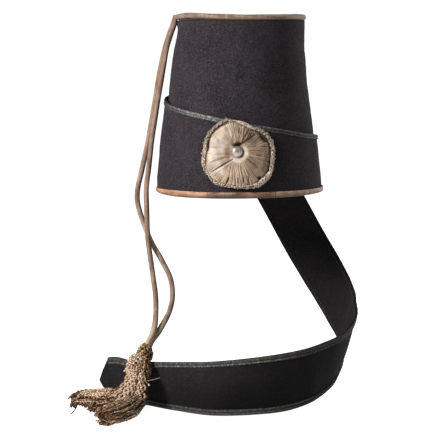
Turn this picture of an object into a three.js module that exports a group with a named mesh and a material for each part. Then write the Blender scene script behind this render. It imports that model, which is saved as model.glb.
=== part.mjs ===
// An old hussar's winged cap: a stiff felt cone with a cloth wing wound round it, a cockade and a tasselled
// cord.
// Millimetres, +Z up, -Y is the front. The origin is the centre of the opening, level with the rim.
import * as THREE from "three";

// ---- Driving dimensions ----------------------------------------------------------------------------------
const GAP = 0.3; // clearance between pieces that touch
const FELT = 2.4; // thickness of the crown's felt
const CLOTH = 2.2; // thickness of the wing's cloth
const BRAID = { width: 5.5, thickness: 1.3 };
const LEATHER = 1.3; // thickness of the rim binding
const CROWN_HEIGHT = 203.4;
const ROUND = 60; // facets round the cap
const RIM_SLOPE = 0.018; // how far the rim dips towards the left, per millimetre

// The crown's outer wall, rim upwards: radius across, lean of its centre, and depth as a share of width.
const CROWN_PROFILE = [
  { z: 0, radius: 96.6, lean: 0, depth: 1.06 },
  { z: 65, radius: 89.2, lean: 0, depth: 1.045 },
  { z: 96, radius: 85.8, lean: -0.2, depth: 1.035 },
  { z: 144, radius: 80.4, lean: -0.5, depth: 1.02 },
  { z: 168, radius: 77.7, lean: -0.5, depth: 1.01 },
  { z: 203.4, radius: 75.2, lean: 2.4, depth: 1 },
];
const BINDING_HEIGHT = 6.3;
const WALL_BOTTOM = LEATHER + GAP; // the felt and the wing stand in the fold of the binding

const TOP_DISC = { thickness: 2.3 };
const TOP_CORD = { radius: 73.7, diameter: 6.6 };

// The wing's upper edge round the cap. Angles run from the front (0) to the right (+90) and the left (-90).
const WING_TOP = [
  { angle: -183.6, z: 118 },
  { angle: -150, z: 117.5 },
  { angle: -120, z: 115.5 },
  { angle: -90, z: 111.5 },
  { angle: -60, z: 104 },
  { angle: -43, z: 99.5 },
  { angle: -20, z: 93.5 },
  { angle: 0, z: 86.5 },
  { angle: 24, z: 80 },
  { angle: 54, z: 71 },
  { angle: 90, z: 65.5 },
  { angle: 152, z: 62 },
];
// The wing stands off the felt a little more at its upper edge. Towards its end at the back it first rises
// out of the binding and then lifts clear of it.
const WING_STANDOFF = { rim: 0.4, upper: 1.4 };
const WING_RISE = { from: -130, to: -148, by: 6.8 };
const WING_LIFT = { from: -148, to: -183.6, by: 4.6 };

// The tail from the seam at the back, down and round to its pointed end: its lower and upper edge.
const TAIL_SECTIONS = [
  { low: [7.0, 106.6, 9], high: [7.0, 95.8, 118] },
  { low: [14, 109, -4], high: [26, 106, 82] },
  { low: [25, 111, -23], high: [53, 107, 35] },
  { low: [46, 109, -60], high: [80, 102, -12] },
  { low: [68, 99, -98], high: [102, 92, -52] },
  { low: [90, 72, -134], high: [122, 74, -86] },
  { low: [108, 34, -163.5], high: [134.5, 42, -112] },
  { low: [118, -12, -186.5], high: [139.2, 0, -132] },
  { low: [116, -60, -208.5], high: [134, -54, -148.6] },
  { low: [93, -103, -228.8], high: [107.5, -102, -163] },
  { low: [55, -131, -240.6], high: [62, -137, -172.9] },
  { low: [12, -137, -245.5], high: [12, -142, -180] },
  { low: [-32, -124, -249.4], high: [-38, -129, -186.6] },
  { low: [-72, -95, -250], high: [-82, -98, -192.2] },
  { low: [-110, -60, -250], high: [-119, -61, -197.6] },
  { low: [-146, -24, -250], high: [-157, -24, -200] },
];
// The pointed end beyond the last section: its lower and upper corner.
const TAIL_POINT = { low: [-163, -12, -239.5], high: [-169, -12, -228] };
const TAIL_STEPS = 50;

const COCKADE = {
  centre: [-3.2, 52], // x and z of its middle
  width: 86,
  height: 84,
  bend: 190, // radius to which it is bent round the cap
  pleats: 26,
  discRadius: 35,
  frillRadius: 38.4,
  frillTube: 3.4,
};
const BUTTON = { diameter: 13, height: 4.2 };

const CORD_DIAMETER = 5.6;
const CORD_STEPS = 36;
// The two strands from the cap's upper edge to the tassel, as they hang.
const CORD_OUTER_ROUTE = [
  [-77.2, 3.5, 209.2], [-78.3, 3.4, 206], [-80.8, 3, 198], [-89, 1, 173], [-93.5, -1, 154], [-97, -3, 136],
  [-103, -6, 100], [-110, -10, 60], [-117, -14, 27], [-121.5, -16.5, 5], [-121.5, -18, -14],
  [-116.5, -21, -34], [-107, -26.5, -57], [-92, -35, -83], [-82, -44, -103], [-80, -52.5, -124],
  [-86, -62, -146], [-95, -71, -162.5], [-101.2, -75, -170], [-105.5, -77.8, -178.2],
];
const CORD_INNER_ROUTE = [
  [-77.2, -3.5, 209.2], [-78, -3.6, 206], [-79.4, -4, 198], [-87, -6, 173], [-90.5, -8, 154],
  [-93.5, -10, 136], [-99.5, -13, 100], [-105.5, -17, 60], [-109, -21, 27], [-111, -24.5, 0],
  [-111, -29.5, -30], [-108.5, -37.5, -62], [-103, -48.5, -98], [-99.5, -59, -124], [-99.8, -70, -148],
  [-103.5, -77.5, -163], [-107.4, -81.2, -170.6], [-108.7, -81.9, -174],
];

// The tassel's parts: rings of an ellipse along each one's middle line.
const KNOT_RINGS = [
  { at: [-107, -79.9, -178], wide: 13, deep: 12 },
  { at: [-108.6, -80.4, -179.6], wide: 18, deep: 16 },
  { at: [-112, -81.5, -184.3], wide: 20, deep: 18 },
  { at: [-114.5, -83, -189], wide: 17, deep: 16 },
];
const HEAD_RINGS = [
  { at: [-114.8, -83.6, -190], wide: 15, deep: 14 },
  { at: [-116.5, -84.6, -193.6], wide: 24, deep: 21 },
  { at: [-118.5, -86, -199.6], wide: 29, deep: 24 },
  { at: [-120.5, -87.5, -206.6], wide: 27, deep: 23 },
  { at: [-121.5, -89, -211.2], wide: 20, deep: 18 },
];
const SKIRT_RINGS = [
  { at: [-121.7, -90, -213], wide: 21, deep: 18 },
  { at: [-122, -92, -218.5], wide: 26, deep: 22 },
  { at: [-122, -96, -228], wide: 31, deep: 25 },
  { at: [-121, -100, -236.5], wide: 32, deep: 26 },
];
const TUFT_RINGS = [
  { at: [-136.9, -92, -235], wide: 16, deep: 18 },
  { at: [-149, -90, -238.5], wide: 22, deep: 24 },
  { at: [-167, -87, -240.5], wide: 21, deep: 28 },
  { at: [-185, -83, -241.5], wide: 19, deep: 30 },
  { at: [-200, -80, -243.5], wide: 15, deep: 24 },
];
const BUNDLE_RINGS = [
  { at: [-114.4, -108.9, -241.2], wide: 17, deep: 20 },
  { at: [-110, -126, -239.8], wide: 20, deep: 20 },
  { at: [-116, -141, -240], wide: 22, deep: 26 },
  { at: [-129, -154, -240.3], wide: 21.6, deep: 32 },
  { at: [-146, -160, -241.3], wide: 19.6, deep: 34 },
  { at: [-160, -160, -243.3], wide: 15, deep: 30 },
];

// ---- Helpers ---------------------------------------------------------------------------------------------

// The value of one column of a table at a place between its rows.
function column(rows, key, at, name) {
  const last = rows.length - 1;
  if (at <= rows[0][key]) return rows[0][name];
  if (at >= rows[last][key]) return rows[last][name];
  const i = rows.findIndex((row) => row[key] > at);
  const share = (at - rows[i - 1][key]) / (rows[i][key] - rows[i - 1][key]);
  return THREE.MathUtils.lerp(rows[i - 1][name], rows[i][name], share);
}

const crownRadius = (z) => column(CROWN_PROFILE, "z", z, "radius");

// Takes a point of a round cap to the real one: deeper than wide, leaning, with a sloping rim.
function headPoint(x, y, z) {
  const slope = RIM_SLOPE * x * (1 - z / CROWN_HEIGHT);
  return new THREE.Vector3(
    x + column(CROWN_PROFILE, "z", z, "lean"),
    y * column(CROWN_PROFILE, "z", z, "depth"),
    z + slope,
  );
}

// A point of the cap at an angle in degrees, a height, and a distance outside the felt.
function onCap(angle, z, out) {
  const a = THREE.MathUtils.degToRad(angle);
  const r = crownRadius(z) + out;
  return headPoint(r * Math.sin(a), -r * Math.cos(a), z);
}

// Turns a closed profile of [radius, z] about the cap's axis and fits it to the head.
function turned(profile) {
  const points = profile.map(([r, z]) => new THREE.Vector2(r, z));
  const geometry = new THREE.LatheGeometry(points, ROUND);
  geometry.rotateX(Math.PI / 2);
  const position = geometry.attributes.position;
  for (let i = 0; i < position.count; i++) {
    const p = headPoint(position.getX(i), position.getY(i), position.getZ(i));
    position.setXYZ(i, p.x, p.y, p.z);
  }
  return geometry;
}

// The volume inside triangular faces: below 0 if they face inwards.
function volume(points, faces) {
  let six = 0;
  for (let i = 0; i < faces.length; i += 3) {
    const [a, b, c] = faces.slice(i, i + 3).map((k) => points[k]);
    six += a.dot(b.clone().cross(c));
  }
  return six / 6;
}

// A solid through rows of points, with both ends closed. Each row is a loop with the same number of points.
function loft(loops) {
  const n = loops[0].length;
  const vertices = loops.flat().flatMap((p) => [p.x, p.y, p.z]);
  const faces = [];
  for (let i = 0; i + 1 < loops.length; i++) {
    for (let j = 0; j < n; j++) {
      const a = i * n + j;
      const b = i * n + ((j + 1) % n);
      faces.push(a, b, b + n, a, b + n, a + n);
    }
  }
  const end = (loops.length - 1) * n;
  for (let j = 0; j < n / 2 - 1; j++) {
    const k = n - 1 - j;
    faces.push(j, k, k - 1, j, k - 1, j + 1);
    faces.push(end + j, end + k - 1, end + k, end + j, end + j + 1, end + k - 1);
  }
  const geometry = new THREE.BufferGeometry();
  geometry.setAttribute("position", new THREE.Float32BufferAttribute(vertices, 3));
  geometry.setIndex(volume(loops.flat(), faces) < 0 ? faces.reverse() : faces);
  geometry.computeVertexNormals();
  return geometry;
}

// A row of a strip: up its outer face and down its inner one, through the given levels.
const stripLoop = (outer, inner) => [...outer, ...inner.slice().reverse()];

function mesh(name, geometry, color, roughness, metalness = 0) {
  const made = new THREE.Mesh(
    geometry,
    new THREE.MeshStandardMaterial({ color, roughness, metalness }),
  );
  made.name = name;
  return made;
}

const COLORS = {
  felt: 0x2b272a,
  cloth: 0x242124,
  leather: 0x9a6b4c,
  braid: 0x5b6059,
  cord: 0x8f7358,
  silver: 0xb7a68c,
  pewter: 0x9a9a9c,
  bullion: 0xa88e6a,
};

// ---- Crown, top and rim ----------------------------------------------------------------------------------

function crown() {
  const levels = CROWN_PROFILE.map((row) => Math.max(row.z, WALL_BOTTOM));
  const outside = levels.map((z) => [crownRadius(z), z]);
  const inside = levels.map((z) => [crownRadius(z) - FELT, z]).reverse();
  return turned([...outside, ...inside, outside[0]]);
}

function crownTop() {
  const bottom = CROWN_HEIGHT + GAP;
  const top = bottom + TOP_DISC.thickness;
  const radius = crownRadius(CROWN_HEIGHT);
  return turned([[0, bottom], [radius, bottom], [radius, top], [0, top]]);
}

function topCord() {
  const lean = column(CROWN_PROFILE, "z", CROWN_HEIGHT, "lean");
  const tube = TOP_CORD.diameter / 2;
  const level = CROWN_HEIGHT + GAP + TOP_DISC.thickness + GAP + tube;
  const geometry = new THREE.TorusGeometry(TOP_CORD.radius, tube, 8, ROUND);
  geometry.translate(lean, 0, level);
  return geometry;
}

// A leather strip folded round the rim: a leg outside the wing, a leg inside the felt.
function rimBinding() {
  const outer = WING_STANDOFF.rim + CLOTH + GAP + LEATHER;
  const inner = -(FELT + GAP + LEATHER);
  const at = (out, z) => [crownRadius(z) + out, z];
  return turned([
    at(outer, 0),
    at(outer, BINDING_HEIGHT),
    at(outer - LEATHER, BINDING_HEIGHT),
    at(outer - LEATHER, LEATHER),
    at(inner + LEATHER, LEATHER),
    at(inner + LEATHER, BINDING_HEIGHT),
    at(inner, BINDING_HEIGHT),
    at(inner, 0),
    at(outer, 0),
  ]);
}

// ---- Wing round the cap ----------------------------------------------------------------------------------

const wingTop = (angle) => column(WING_TOP, "angle", angle, "z");

// How far a gradual change has gone at an angle.
const gone = ({ from, to, by }, angle) => by * THREE.MathUtils.smoothstep(-angle, -from, -to);

const wingBottom = (angle) => WALL_BOTTOM + gone(WING_RISE, angle);

// The distance of the wing's inner face from the felt.
function wingStandoff(angle, z) {
  const rise = z / wingTop(angle);
  const loose = THREE.MathUtils.lerp(WING_STANDOFF.rim, WING_STANDOFF.upper, rise);
  return loose + gone(WING_LIFT, angle);
}

const WING_START = WING_TOP[WING_TOP.length - 1].angle;
const WING_END = WING_TOP[0].angle;
const WING_STEP = 5; // degrees between rows

// Walks round the wing from the seam at the back to its start, one row every few degrees.
function wingRows(row) {
  const sweep = WING_START - WING_END;
  const count = Math.round(sweep / WING_STEP);
  return Array.from({ length: count + 1 }, (_, i) => row(WING_END + (i / count) * sweep));
}

function wingWrap() {
  return loft(
    wingRows((angle) => {
      const [bottom, top] = [wingBottom(angle), wingTop(angle)];
      const levels = [bottom, (bottom + top) / 2, top];
      const inner = levels.map((z) => onCap(angle, z, wingStandoff(angle, z)));
      const outer = levels.map((z) => onCap(angle, z, wingStandoff(angle, z) + CLOTH));
      return stripLoop(outer, inner);
    }),
  );
}

function wrapBraid() {
  return loft(
    wingRows((angle) => {
      const top = wingTop(angle);
      const levels = [top - BRAID.width, top];
      const out = (z) => wingStandoff(angle, z) + CLOTH + GAP;
      const inner = levels.map((z) => onCap(angle, z, out(z)));
      const outer = levels.map((z) => onCap(angle, z, out(z) + BRAID.thickness));
      return stripLoop(outer, inner);
    }),
  );
}

// ---- The wing's free tail --------------------------------------------------------------------------------

const curveThrough = (points) => new THREE.CatmullRomCurve3(points.map((p) => new THREE.Vector3(...p)));
const tailLow = curveThrough(TAIL_SECTIONS.map((row) => row.low));
const tailHigh = curveThrough(TAIL_SECTIONS.map((row) => row.high));

// The tail's lower and upper edge and its outward normal at a share of its length.
function tailSection(t) {
  const low = tailLow.getPoint(t);
  const high = tailHigh.getPoint(t);
  const across = high.clone().sub(low).normalize();
  const along = tailLow.getTangent(t).add(tailHigh.getTangent(t)).normalize();
  const normal = new THREE.Vector3().crossVectors(across, along).normalize();
  return { low, high, across, normal };
}

// A row across the tail between two distances from its edges, from one height over its face to another.
function tailLoop({ low, high, across, normal }, fromLow, fromHigh, under, over) {
  const a = low.clone().addScaledVector(across, fromLow);
  const b = high.clone().addScaledVector(across, -fromHigh);
  const lifted = (p, height) => p.clone().addScaledVector(normal, height);
  return stripLoop([lifted(a, over), lifted(b, over)], [lifted(a, under), lifted(b, under)]);
}

function tailRows(row) {
  return Array.from({ length: TAIL_STEPS + 1 }, (_, i) => row(tailSection(i / TAIL_STEPS)));
}

function wingTail() {
  const last = tailSection(1);
  const point = {
    ...last,
    low: new THREE.Vector3(...TAIL_POINT.low),
    high: new THREE.Vector3(...TAIL_POINT.high),
  };
  const rows = tailRows((section) => tailLoop(section, 0, 0, 0, CLOTH));
  return loft([...rows, tailLoop(point, 0, 0, 0, CLOTH)]);
}

const braidOver = [CLOTH + GAP, CLOTH + GAP + BRAID.thickness];

function tailBraidUpper() {
  return loft(
    tailRows((section) => {
      const width = section.high.distanceTo(section.low);
      return tailLoop(section, width - BRAID.width, 0, ...braidOver);
    }),
  );
}

function tailBraidLower() {
  return loft(
    tailRows((section) => {
      const width = section.high.distanceTo(section.low);
      return tailLoop(section, 0, width - BRAID.width, ...braidOver);
    }),
  );
}

// ---- Cockade ---------------------------------------------------------------------------------------------

// Places a piece made flat, facing +Z, on the front of the wing, bent a little round the cap.
function onFront(geometry) {
  const [x0, z0] = COCKADE.centre;
  const foot = onCap(0, z0 - 20, wingStandoff(0, z0 - 20) + CLOTH);
  const head = onCap(0, z0 + 20, wingStandoff(0, z0 + 20) + CLOTH);
  const up = head.clone().sub(foot).normalize();
  const right = new THREE.Vector3(1, 0, 0);
  const out = new THREE.Vector3().crossVectors(right, up);
  const centre = foot.clone().add(head).multiplyScalar(0.5).setX(x0);
  const position = geometry.attributes.position;
  for (let i = 0; i < position.count; i++) {
    const u = position.getX(i);
    const w = position.getZ(i) - (u * u) / (2 * COCKADE.bend);
    const p = centre
      .clone()
      .addScaledVector(right, u)
      .addScaledVector(up, position.getY(i))
      .addScaledVector(out, w);
    position.setXYZ(i, p.x, p.y, p.z);
  }
  return geometry;
}

const COCKADE_BACK = 2.4; // the frill's back stands this far off the wing, clear of its braid
const DISC_FOOT = 14; // radius of the disc's middle, which is sewn down on the wing

function cockadeDisc() {
  const r = COCKADE.discRadius;
  const profile = [
    [0, GAP],
    [DISC_FOOT, GAP],
    [DISC_FOOT + 3, COCKADE_BACK],
    [r, COCKADE_BACK],
    [r, COCKADE_BACK + 2.2],
    [r * 0.8, COCKADE_BACK + 5.4],
    [r * 0.45, COCKADE_BACK + 5.2],
    [8, COCKADE_BACK + 3.4],
    [0, COCKADE_BACK + 2.8],
  ].map(([x, y]) => new THREE.Vector2(x, y));
  const geometry = new THREE.LatheGeometry(profile, COCKADE.pleats * 2);
  geometry.rotateX(Math.PI / 2);
  const position = geometry.attributes.position;
  for (let i = 0; i < position.count; i++) {
    const x = position.getX(i);
    const y = position.getY(i);
    const reach = Math.hypot(x, y) / r;
    const front = position.getZ(i) > COCKADE_BACK + 0.1 && reach > 0.3 && reach < 0.95;
    const pleat = front ? 0.7 * Math.cos(COCKADE.pleats * Math.atan2(y, x)) : 0;
    position.setZ(i, position.getZ(i) + pleat);
  }
  return onFront(geometry);
}

function cockadeFrill() {
  const { discRadius, frillRadius, frillTube, width, height, pleats } = COCKADE;
  const geometry = new THREE.TorusGeometry(frillRadius, frillTube, 6, pleats * 3);
  const position = geometry.attributes.position;
  const outer = frillRadius + frillTube;
  for (let i = 0; i < position.count; i++) {
    const x = position.getX(i);
    const y = position.getY(i);
    const angle = Math.atan2(y, x);
    const ruffle = 1 + 0.012 * Math.cos(pleats * angle) - 0.012 * Math.cos(4 * angle);
    const beyond = THREE.MathUtils.clamp((Math.hypot(x, y) - discRadius) / (outer - discRadius), 0, 1);
    const sx = THREE.MathUtils.lerp(1, (width / 2 / outer) * ruffle, beyond);
    const sy = THREE.MathUtils.lerp(1, (height / 2 / outer) * ruffle, beyond);
    position.setXYZ(i, x * sx, y * sy, position.getZ(i) * 0.75 + COCKADE_BACK + frillTube * 0.75);
  }
  return onFront(geometry);
}

function cockadeButton() {
  const r = BUTTON.diameter / 2;
  const foot = COCKADE_BACK + 3.4 + GAP;
  const dome = Array.from({ length: 6 }, (_, i) => {
    const a = (i / 5) * (Math.PI / 2);
    return new THREE.Vector2(r * Math.cos(a), foot + 0.8 + (BUTTON.height - 0.8) * Math.sin(a));
  });
  dome[dome.length - 1].x = 0;
  const back = [new THREE.Vector2(0, foot), new THREE.Vector2(r, foot)];
  const geometry = new THREE.LatheGeometry([...back, ...dome], 24);
  geometry.rotateX(Math.PI / 2);
  return onFront(geometry);
}

// ---- Cord and tassel -------------------------------------------------------------------------------------

function cord(route) {
  const section = new THREE.Shape();
  const sides = 8;
  for (let i = 0; i < sides; i++) {
    const a = ((i + 0.5) / sides) * Math.PI * 2;
    const x = (CORD_DIAMETER / 2) * Math.cos(a);
    const y = (CORD_DIAMETER / 2) * Math.sin(a);
    if (i === 0) section.moveTo(x, y);
    else section.lineTo(x, y);
  }
  section.closePath();
  return new THREE.ExtrudeGeometry(section, { steps: CORD_STEPS, extrudePath: curveThrough(route) });
}

// A plump body through elliptical rings, each square to the middle line.
function plump(rings, sides = 16) {
  const middle = rings.map((ring) => new THREE.Vector3(...ring.at));
  const loops = rings.map((ring, i) => {
    const before = middle[Math.max(i - 1, 0)];
    const after = middle[Math.min(i + 1, rings.length - 1)];
    const along = after.clone().sub(before).normalize();
    const steep = Math.abs(along.z) > 0.6;
    const guide = steep ? new THREE.Vector3(0, 1, 0) : new THREE.Vector3(0, 0, 1);
    const level = new THREE.Vector3().crossVectors(along, guide).normalize();
    const other = new THREE.Vector3().crossVectors(along, level);
    const [a, b] = steep ? [ring.wide, ring.deep] : [ring.deep, ring.wide];
    return Array.from({ length: sides }, (_, k) => {
      const turn = (k / sides) * Math.PI * 2;
      return middle[i]
        .clone()
        .addScaledVector(level, (a / 2) * Math.cos(turn))
        .addScaledVector(other, (b / 2) * Math.sin(turn));
    });
  });
  return loft(loops);
}

// ---- The whole cap ---------------------------------------------------------------------------------------

const cap = new THREE.Group();
cap.add(
  mesh("crown", crown(), COLORS.felt, 0.95),
  mesh("crown_top", crownTop(), COLORS.felt, 0.95),
  mesh("top_cord", topCord(), COLORS.cord, 0.8),
  mesh("rim_binding", rimBinding(), COLORS.leather, 0.6),
  mesh("wing_wrap", wingWrap(), COLORS.cloth, 0.95),
  mesh("braid_wrap", wrapBraid(), COLORS.braid, 0.9),
  mesh("wing_tail", wingTail(), COLORS.cloth, 0.95),
  mesh("braid_tail_upper", tailBraidUpper(), COLORS.braid, 0.9),
  mesh("braid_tail_lower", tailBraidLower(), COLORS.braid, 0.9),
  mesh("cockade_frill", cockadeFrill(), COLORS.silver, 0.7),
  mesh("cockade_disc", cockadeDisc(), COLORS.silver, 0.6),
  mesh("cockade_button", cockadeButton(), COLORS.pewter, 0.35, 1),
  mesh("cord_outer", cord(CORD_OUTER_ROUTE), COLORS.cord, 0.8),
  mesh("cord_inner", cord(CORD_INNER_ROUTE), COLORS.cord, 0.8),
  mesh("tassel_knot", plump(KNOT_RINGS), COLORS.bullion, 0.7),
  mesh("tassel_head", plump(HEAD_RINGS), COLORS.bullion, 0.7),
  mesh("tassel_skirt", plump(SKIRT_RINGS), COLORS.bullion, 0.7),
  mesh("tassel_tuft", plump(TUFT_RINGS), COLORS.bullion, 0.7),
  mesh("tassel_bundle", plump(BUNDLE_RINGS), COLORS.bullion, 0.7),
);

export default cap;
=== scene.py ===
"""The looks of an old winged cap: black felt and cloth, worn braid, a silver cockade and a tassel."""

import math

import bmesh
import bpy
import numpy as np
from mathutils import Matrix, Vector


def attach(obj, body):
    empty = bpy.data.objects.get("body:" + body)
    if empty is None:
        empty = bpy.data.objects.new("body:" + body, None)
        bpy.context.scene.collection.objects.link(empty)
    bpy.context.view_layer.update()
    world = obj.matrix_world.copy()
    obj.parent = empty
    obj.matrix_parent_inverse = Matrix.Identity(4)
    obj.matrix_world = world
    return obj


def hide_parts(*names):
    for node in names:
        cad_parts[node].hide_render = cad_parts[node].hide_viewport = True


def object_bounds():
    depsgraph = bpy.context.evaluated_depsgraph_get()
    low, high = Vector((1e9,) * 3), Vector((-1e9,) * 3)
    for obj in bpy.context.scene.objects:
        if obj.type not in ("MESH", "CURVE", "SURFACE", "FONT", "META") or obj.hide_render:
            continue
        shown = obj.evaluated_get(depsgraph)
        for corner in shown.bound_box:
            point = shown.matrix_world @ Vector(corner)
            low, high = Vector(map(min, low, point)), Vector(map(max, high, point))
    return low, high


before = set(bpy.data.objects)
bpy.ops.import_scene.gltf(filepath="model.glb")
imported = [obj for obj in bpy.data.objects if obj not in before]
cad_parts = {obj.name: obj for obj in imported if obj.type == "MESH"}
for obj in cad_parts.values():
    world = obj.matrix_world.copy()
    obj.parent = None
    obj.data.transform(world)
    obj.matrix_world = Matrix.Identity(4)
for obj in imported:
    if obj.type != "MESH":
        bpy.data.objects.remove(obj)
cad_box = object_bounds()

# ---- Driving dimensions, in millimetres unless a comment says metres ------------------------------------
MM = 0.001
FELT = 2.4
CLOTH = 2.2
GAP = 0.3
LEATHER = 1.3
BINDING_HEIGHT = 6.3
WALL_BOTTOM = LEATHER + GAP
CROWN_HEIGHT = 203.4
RIM_SLOPE = 0.018
BRAID_WIDTH = 5.5
BRAID_THICKNESS = 1.3
TOP_CORD = {"radius": 73.7, "diameter": 6.9, "lean": 2.4}

# The crown's outer wall, rim upwards: height, radius across, lean of its centre, depth as a share of width.
CROWN_PROFILE = {
    "z": (0, 20, 43, 65, 96, 122, 144, 168, 186, 203.4),
    "radius": (96.6, 94.5, 91.7, 89.2, 85.8, 83.1, 80.9, 77.9, 76, 75.2),
    "lean": (0, 0.3, 0.3, -0.3, -0.3, -1.1, -1.1, -0.6, 1.2, 2.4),
    "depth": (1.06, 1.055, 1.05, 1.045, 1.035, 1.025, 1.015, 1.005, 1, 1),
}
# The wing's upper edge round the cap: angle from the front, in degrees, rightwards, and height.
WING_TOP = {
    "angle": (-183.6, -150, -120, -90, -60, -43, -20, 0, 24, 54, 90, 152),
    "z": (118, 117.5, 115.5, 111.5, 104, 99.5, 93.5, 86.5, 80, 71, 65.5, 62),
}
# How the worn rim bends: angle from the front, rightwards, and the lift of its lower and of its upper edge.
RIM_WARP = {
    "angle": (-180, -125, -90, -66, -50, 0, 30, 45, 70, 90, 130, 180),
    "low": (0, 0.6, 2, 0.4, -0.2, -0.6, -1.1, -1.5, -1.6, -1.3, -0.4, 0),
    "high": (0, -0.2, -0.6, 0.4, 0.8, 0.3, -0.5, -1, -1.9, -2.1, -0.7, 0),
}
# The height where the bending ends.
WARP_TOP = 26
# How the cord round the top sags: its middle line's height, from left to right.
TOP_CORD_SAG = {"x": (-74, -71, -66, -58, -30, 0, 12, 40, 62, 70, 77),
                "z": (207.5, 208.1, 208.9, 209.4, 208.2, 207.2, 207, 207.5, 208, 207.9, 207)}
# How far the wing's cloth stands off the felt on the left side, by height.
WING_SLACK = {"z": (3, 17, 43, 53, 62, 72, 81, 100, 111), "by": (0, 2, 2, 2.7, 2.5, 2.1, 1.8, 1.2, 0)}
# How far it stands off the felt all round, at the rim and at its upper edge.
STANDOFF_RIM = 0.4
STANDOFF_UPPER = 1.4
# Behind, its lower edge rises and the cloth lifts off the felt: from which angle to which, and by how much.
WING_RISE = {"start": -130, "end": -148, "by": 6.8}
WING_LIFT = {"start": -148, "end": -183.6, "by": 4.6}

# The free tail from the seam at the back to its pointed end: its lower and upper edge.
TAIL_LOW = (
    (7, 106.6, 9), (14, 109, -4), (25, 111, -23), (45.2, 109, -60), (66.2, 99, -98), (89, 72, -134),
    (108, 34, -163.5), (120.5, -12, -186.5), (116.5, -60, -208.2), (94.6, -103, -229.8),
    (55.5, -131.5, -241.7), (12, -137.5, -246.2), (-32, -124, -249.4), (-72, -95, -250),
    (-110, -60, -250), (-146, -24, -250),
)
TAIL_HIGH = (
    (7, 95.8, 118), (26, 106, 82), (53, 107, 35), (80, 102, -12), (102, 92, -52), (122, 74, -86),
    (135.3, 42, -112), (139.4, -2, -130.4), (132.9, -58, -152.2), (108.6, -101, -163.2),
    (62, -137, -172.3), (12, -142, -179.4), (-38, -129, -186.1), (-82, -98, -192), (-119, -61, -197.6),
    (-157, -24, -200),
)
# Painted light and shade on the tail's cloth, as factors on its colour: at the front from left to right,
# under its upper edge and above its lower one, and behind, by height.
TAIL_PAINTED_LIGHT = {
    "x": (-150, -70, -35, 0, 35, 69, 92),
    "high": (1.35, 1.8, 1.8, 1.15, 0.72, 0.78, 0.82),
    "low": (1.1, 0.7, 0.5, 0.25, 0.3, 0.6, 0.9),
}
TAIL_PAINTED_LIGHT_BEHIND = {"z": (-150, -110, -80, -60, -40, -20), "tone": (1, 0.72, 1, 1.65, 2.5, 2.3)}
TAIL_POINT_LOW = (-163, -12, -239.5)
TAIL_POINT_HIGH = (-169, -12, -228)

COCKADE_CENTRE = (-3.2, 52)
COCKADE_REACH = 40
COCKADE_BEND = 190
COCKADE_BACK = 2.4
BUTTON_RADIUS = 6.5

# The two strands of the hanging cord, from the top cord to the knot, in metres, as in the CAD model.
CORD_DIAMETER = 0.0056
# How many times its bare diameter the cord is with its pile.
CORD_PILE = 1.16
CORD_OUTER_ROUTE = (
    (-0.0772, 0.0035, 0.2092), (-0.0783, 0.0034, 0.206), (-0.0808, 0.003, 0.198), (-0.089, 0.001, 0.173),
    (-0.0935, -0.001, 0.154), (-0.097, -0.003, 0.136), (-0.103, -0.006, 0.1), (-0.11, -0.01, 0.06),
    (-0.117, -0.014, 0.027), (-0.1215, -0.0165, 0.005), (-0.1215, -0.018, -0.014),
    (-0.1165, -0.021, -0.034), (-0.107, -0.0265, -0.057), (-0.092, -0.035, -0.083),
    (-0.082, -0.044, -0.103), (-0.08, -0.0525, -0.124), (-0.086, -0.062, -0.146),
    (-0.095, -0.071, -0.1625), (-0.1012, -0.075, -0.17), (-0.1055, -0.0778, -0.1782),
)
CORD_INNER_ROUTE = (
    (-0.0772, -0.0035, 0.2092), (-0.078, -0.0036, 0.206), (-0.0794, -0.004, 0.198),
    (-0.087, -0.006, 0.173), (-0.0905, -0.008, 0.154), (-0.0935, -0.01, 0.136), (-0.0995, -0.013, 0.1),
    (-0.1055, -0.017, 0.06), (-0.109, -0.021, 0.027), (-0.111, -0.0245, 0), (-0.111, -0.0295, -0.03),
    (-0.1085, -0.0375, -0.062), (-0.103, -0.0485, -0.098), (-0.0995, -0.059, -0.124),
    (-0.0998, -0.07, -0.148), (-0.1035, -0.0775, -0.163), (-0.1074, -0.0812, -0.1706),
    (-0.1087, -0.0819, -0.174),
)

# The tassel's parts, as ellipses along each one's middle line: the middle, how wide and how deep.
KNOT = (
    (-108.2, -79.8, -174, 7, 8), (-109.6, -80.2, -177.5, 12.5, 12), (-111.2, -80.8, -181.5, 18, 16),
    (-111.8, -81.5, -186, 18.6, 17), (-112.8, -82.2, -190.5, 18, 18),
)
HEAD = (
    (-115, -82.8, -189.4, 20, 17), (-117, -84.4, -194.2, 26, 20), (-118.4, -86, -199.5, 28.6, 23),
    (-119, -87.5, -205, 28.6, 24), (-120.2, -89, -211, 25.4, 21),
)
SKIRT = (
    (-121.4, -90, -210.5, 23, 19), (-122.4, -92, -217, 24.5, 22), (-122.2, -96, -227, 29, 25),
    (-120.4, -101, -239, 29, 26),
)
TUFT = (
    (-136.9, -92, -234, 18, 18), (-150, -90, -237, 22, 24), (-167, -87, -238.5, 22, 28),
    (-183, -84, -238.5, 19, 28), (-197.5, -82, -239.5, 11, 20),
)
BUNDLE = (
    (-120, -103, -238, 17, 20), (-125.6, -119, -240.6, 20.5, 25), (-134.6, -139, -242.2, 20.5, 36),
    (-144, -154, -242.8, 20, 40), (-152, -164, -243.6, 18.5, 40), (-159, -169.5, -244.6, 15, 37),
)
# The dark, matted threads between the tuft and the bundle.
MAT = (
    (-140, -112, -243.5, 14, 16), (-152, -107, -244.5, 13, 17), (-164, -101, -246, 11, 16),
    (-175, -96, -247, 8, 12),
)
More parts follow.
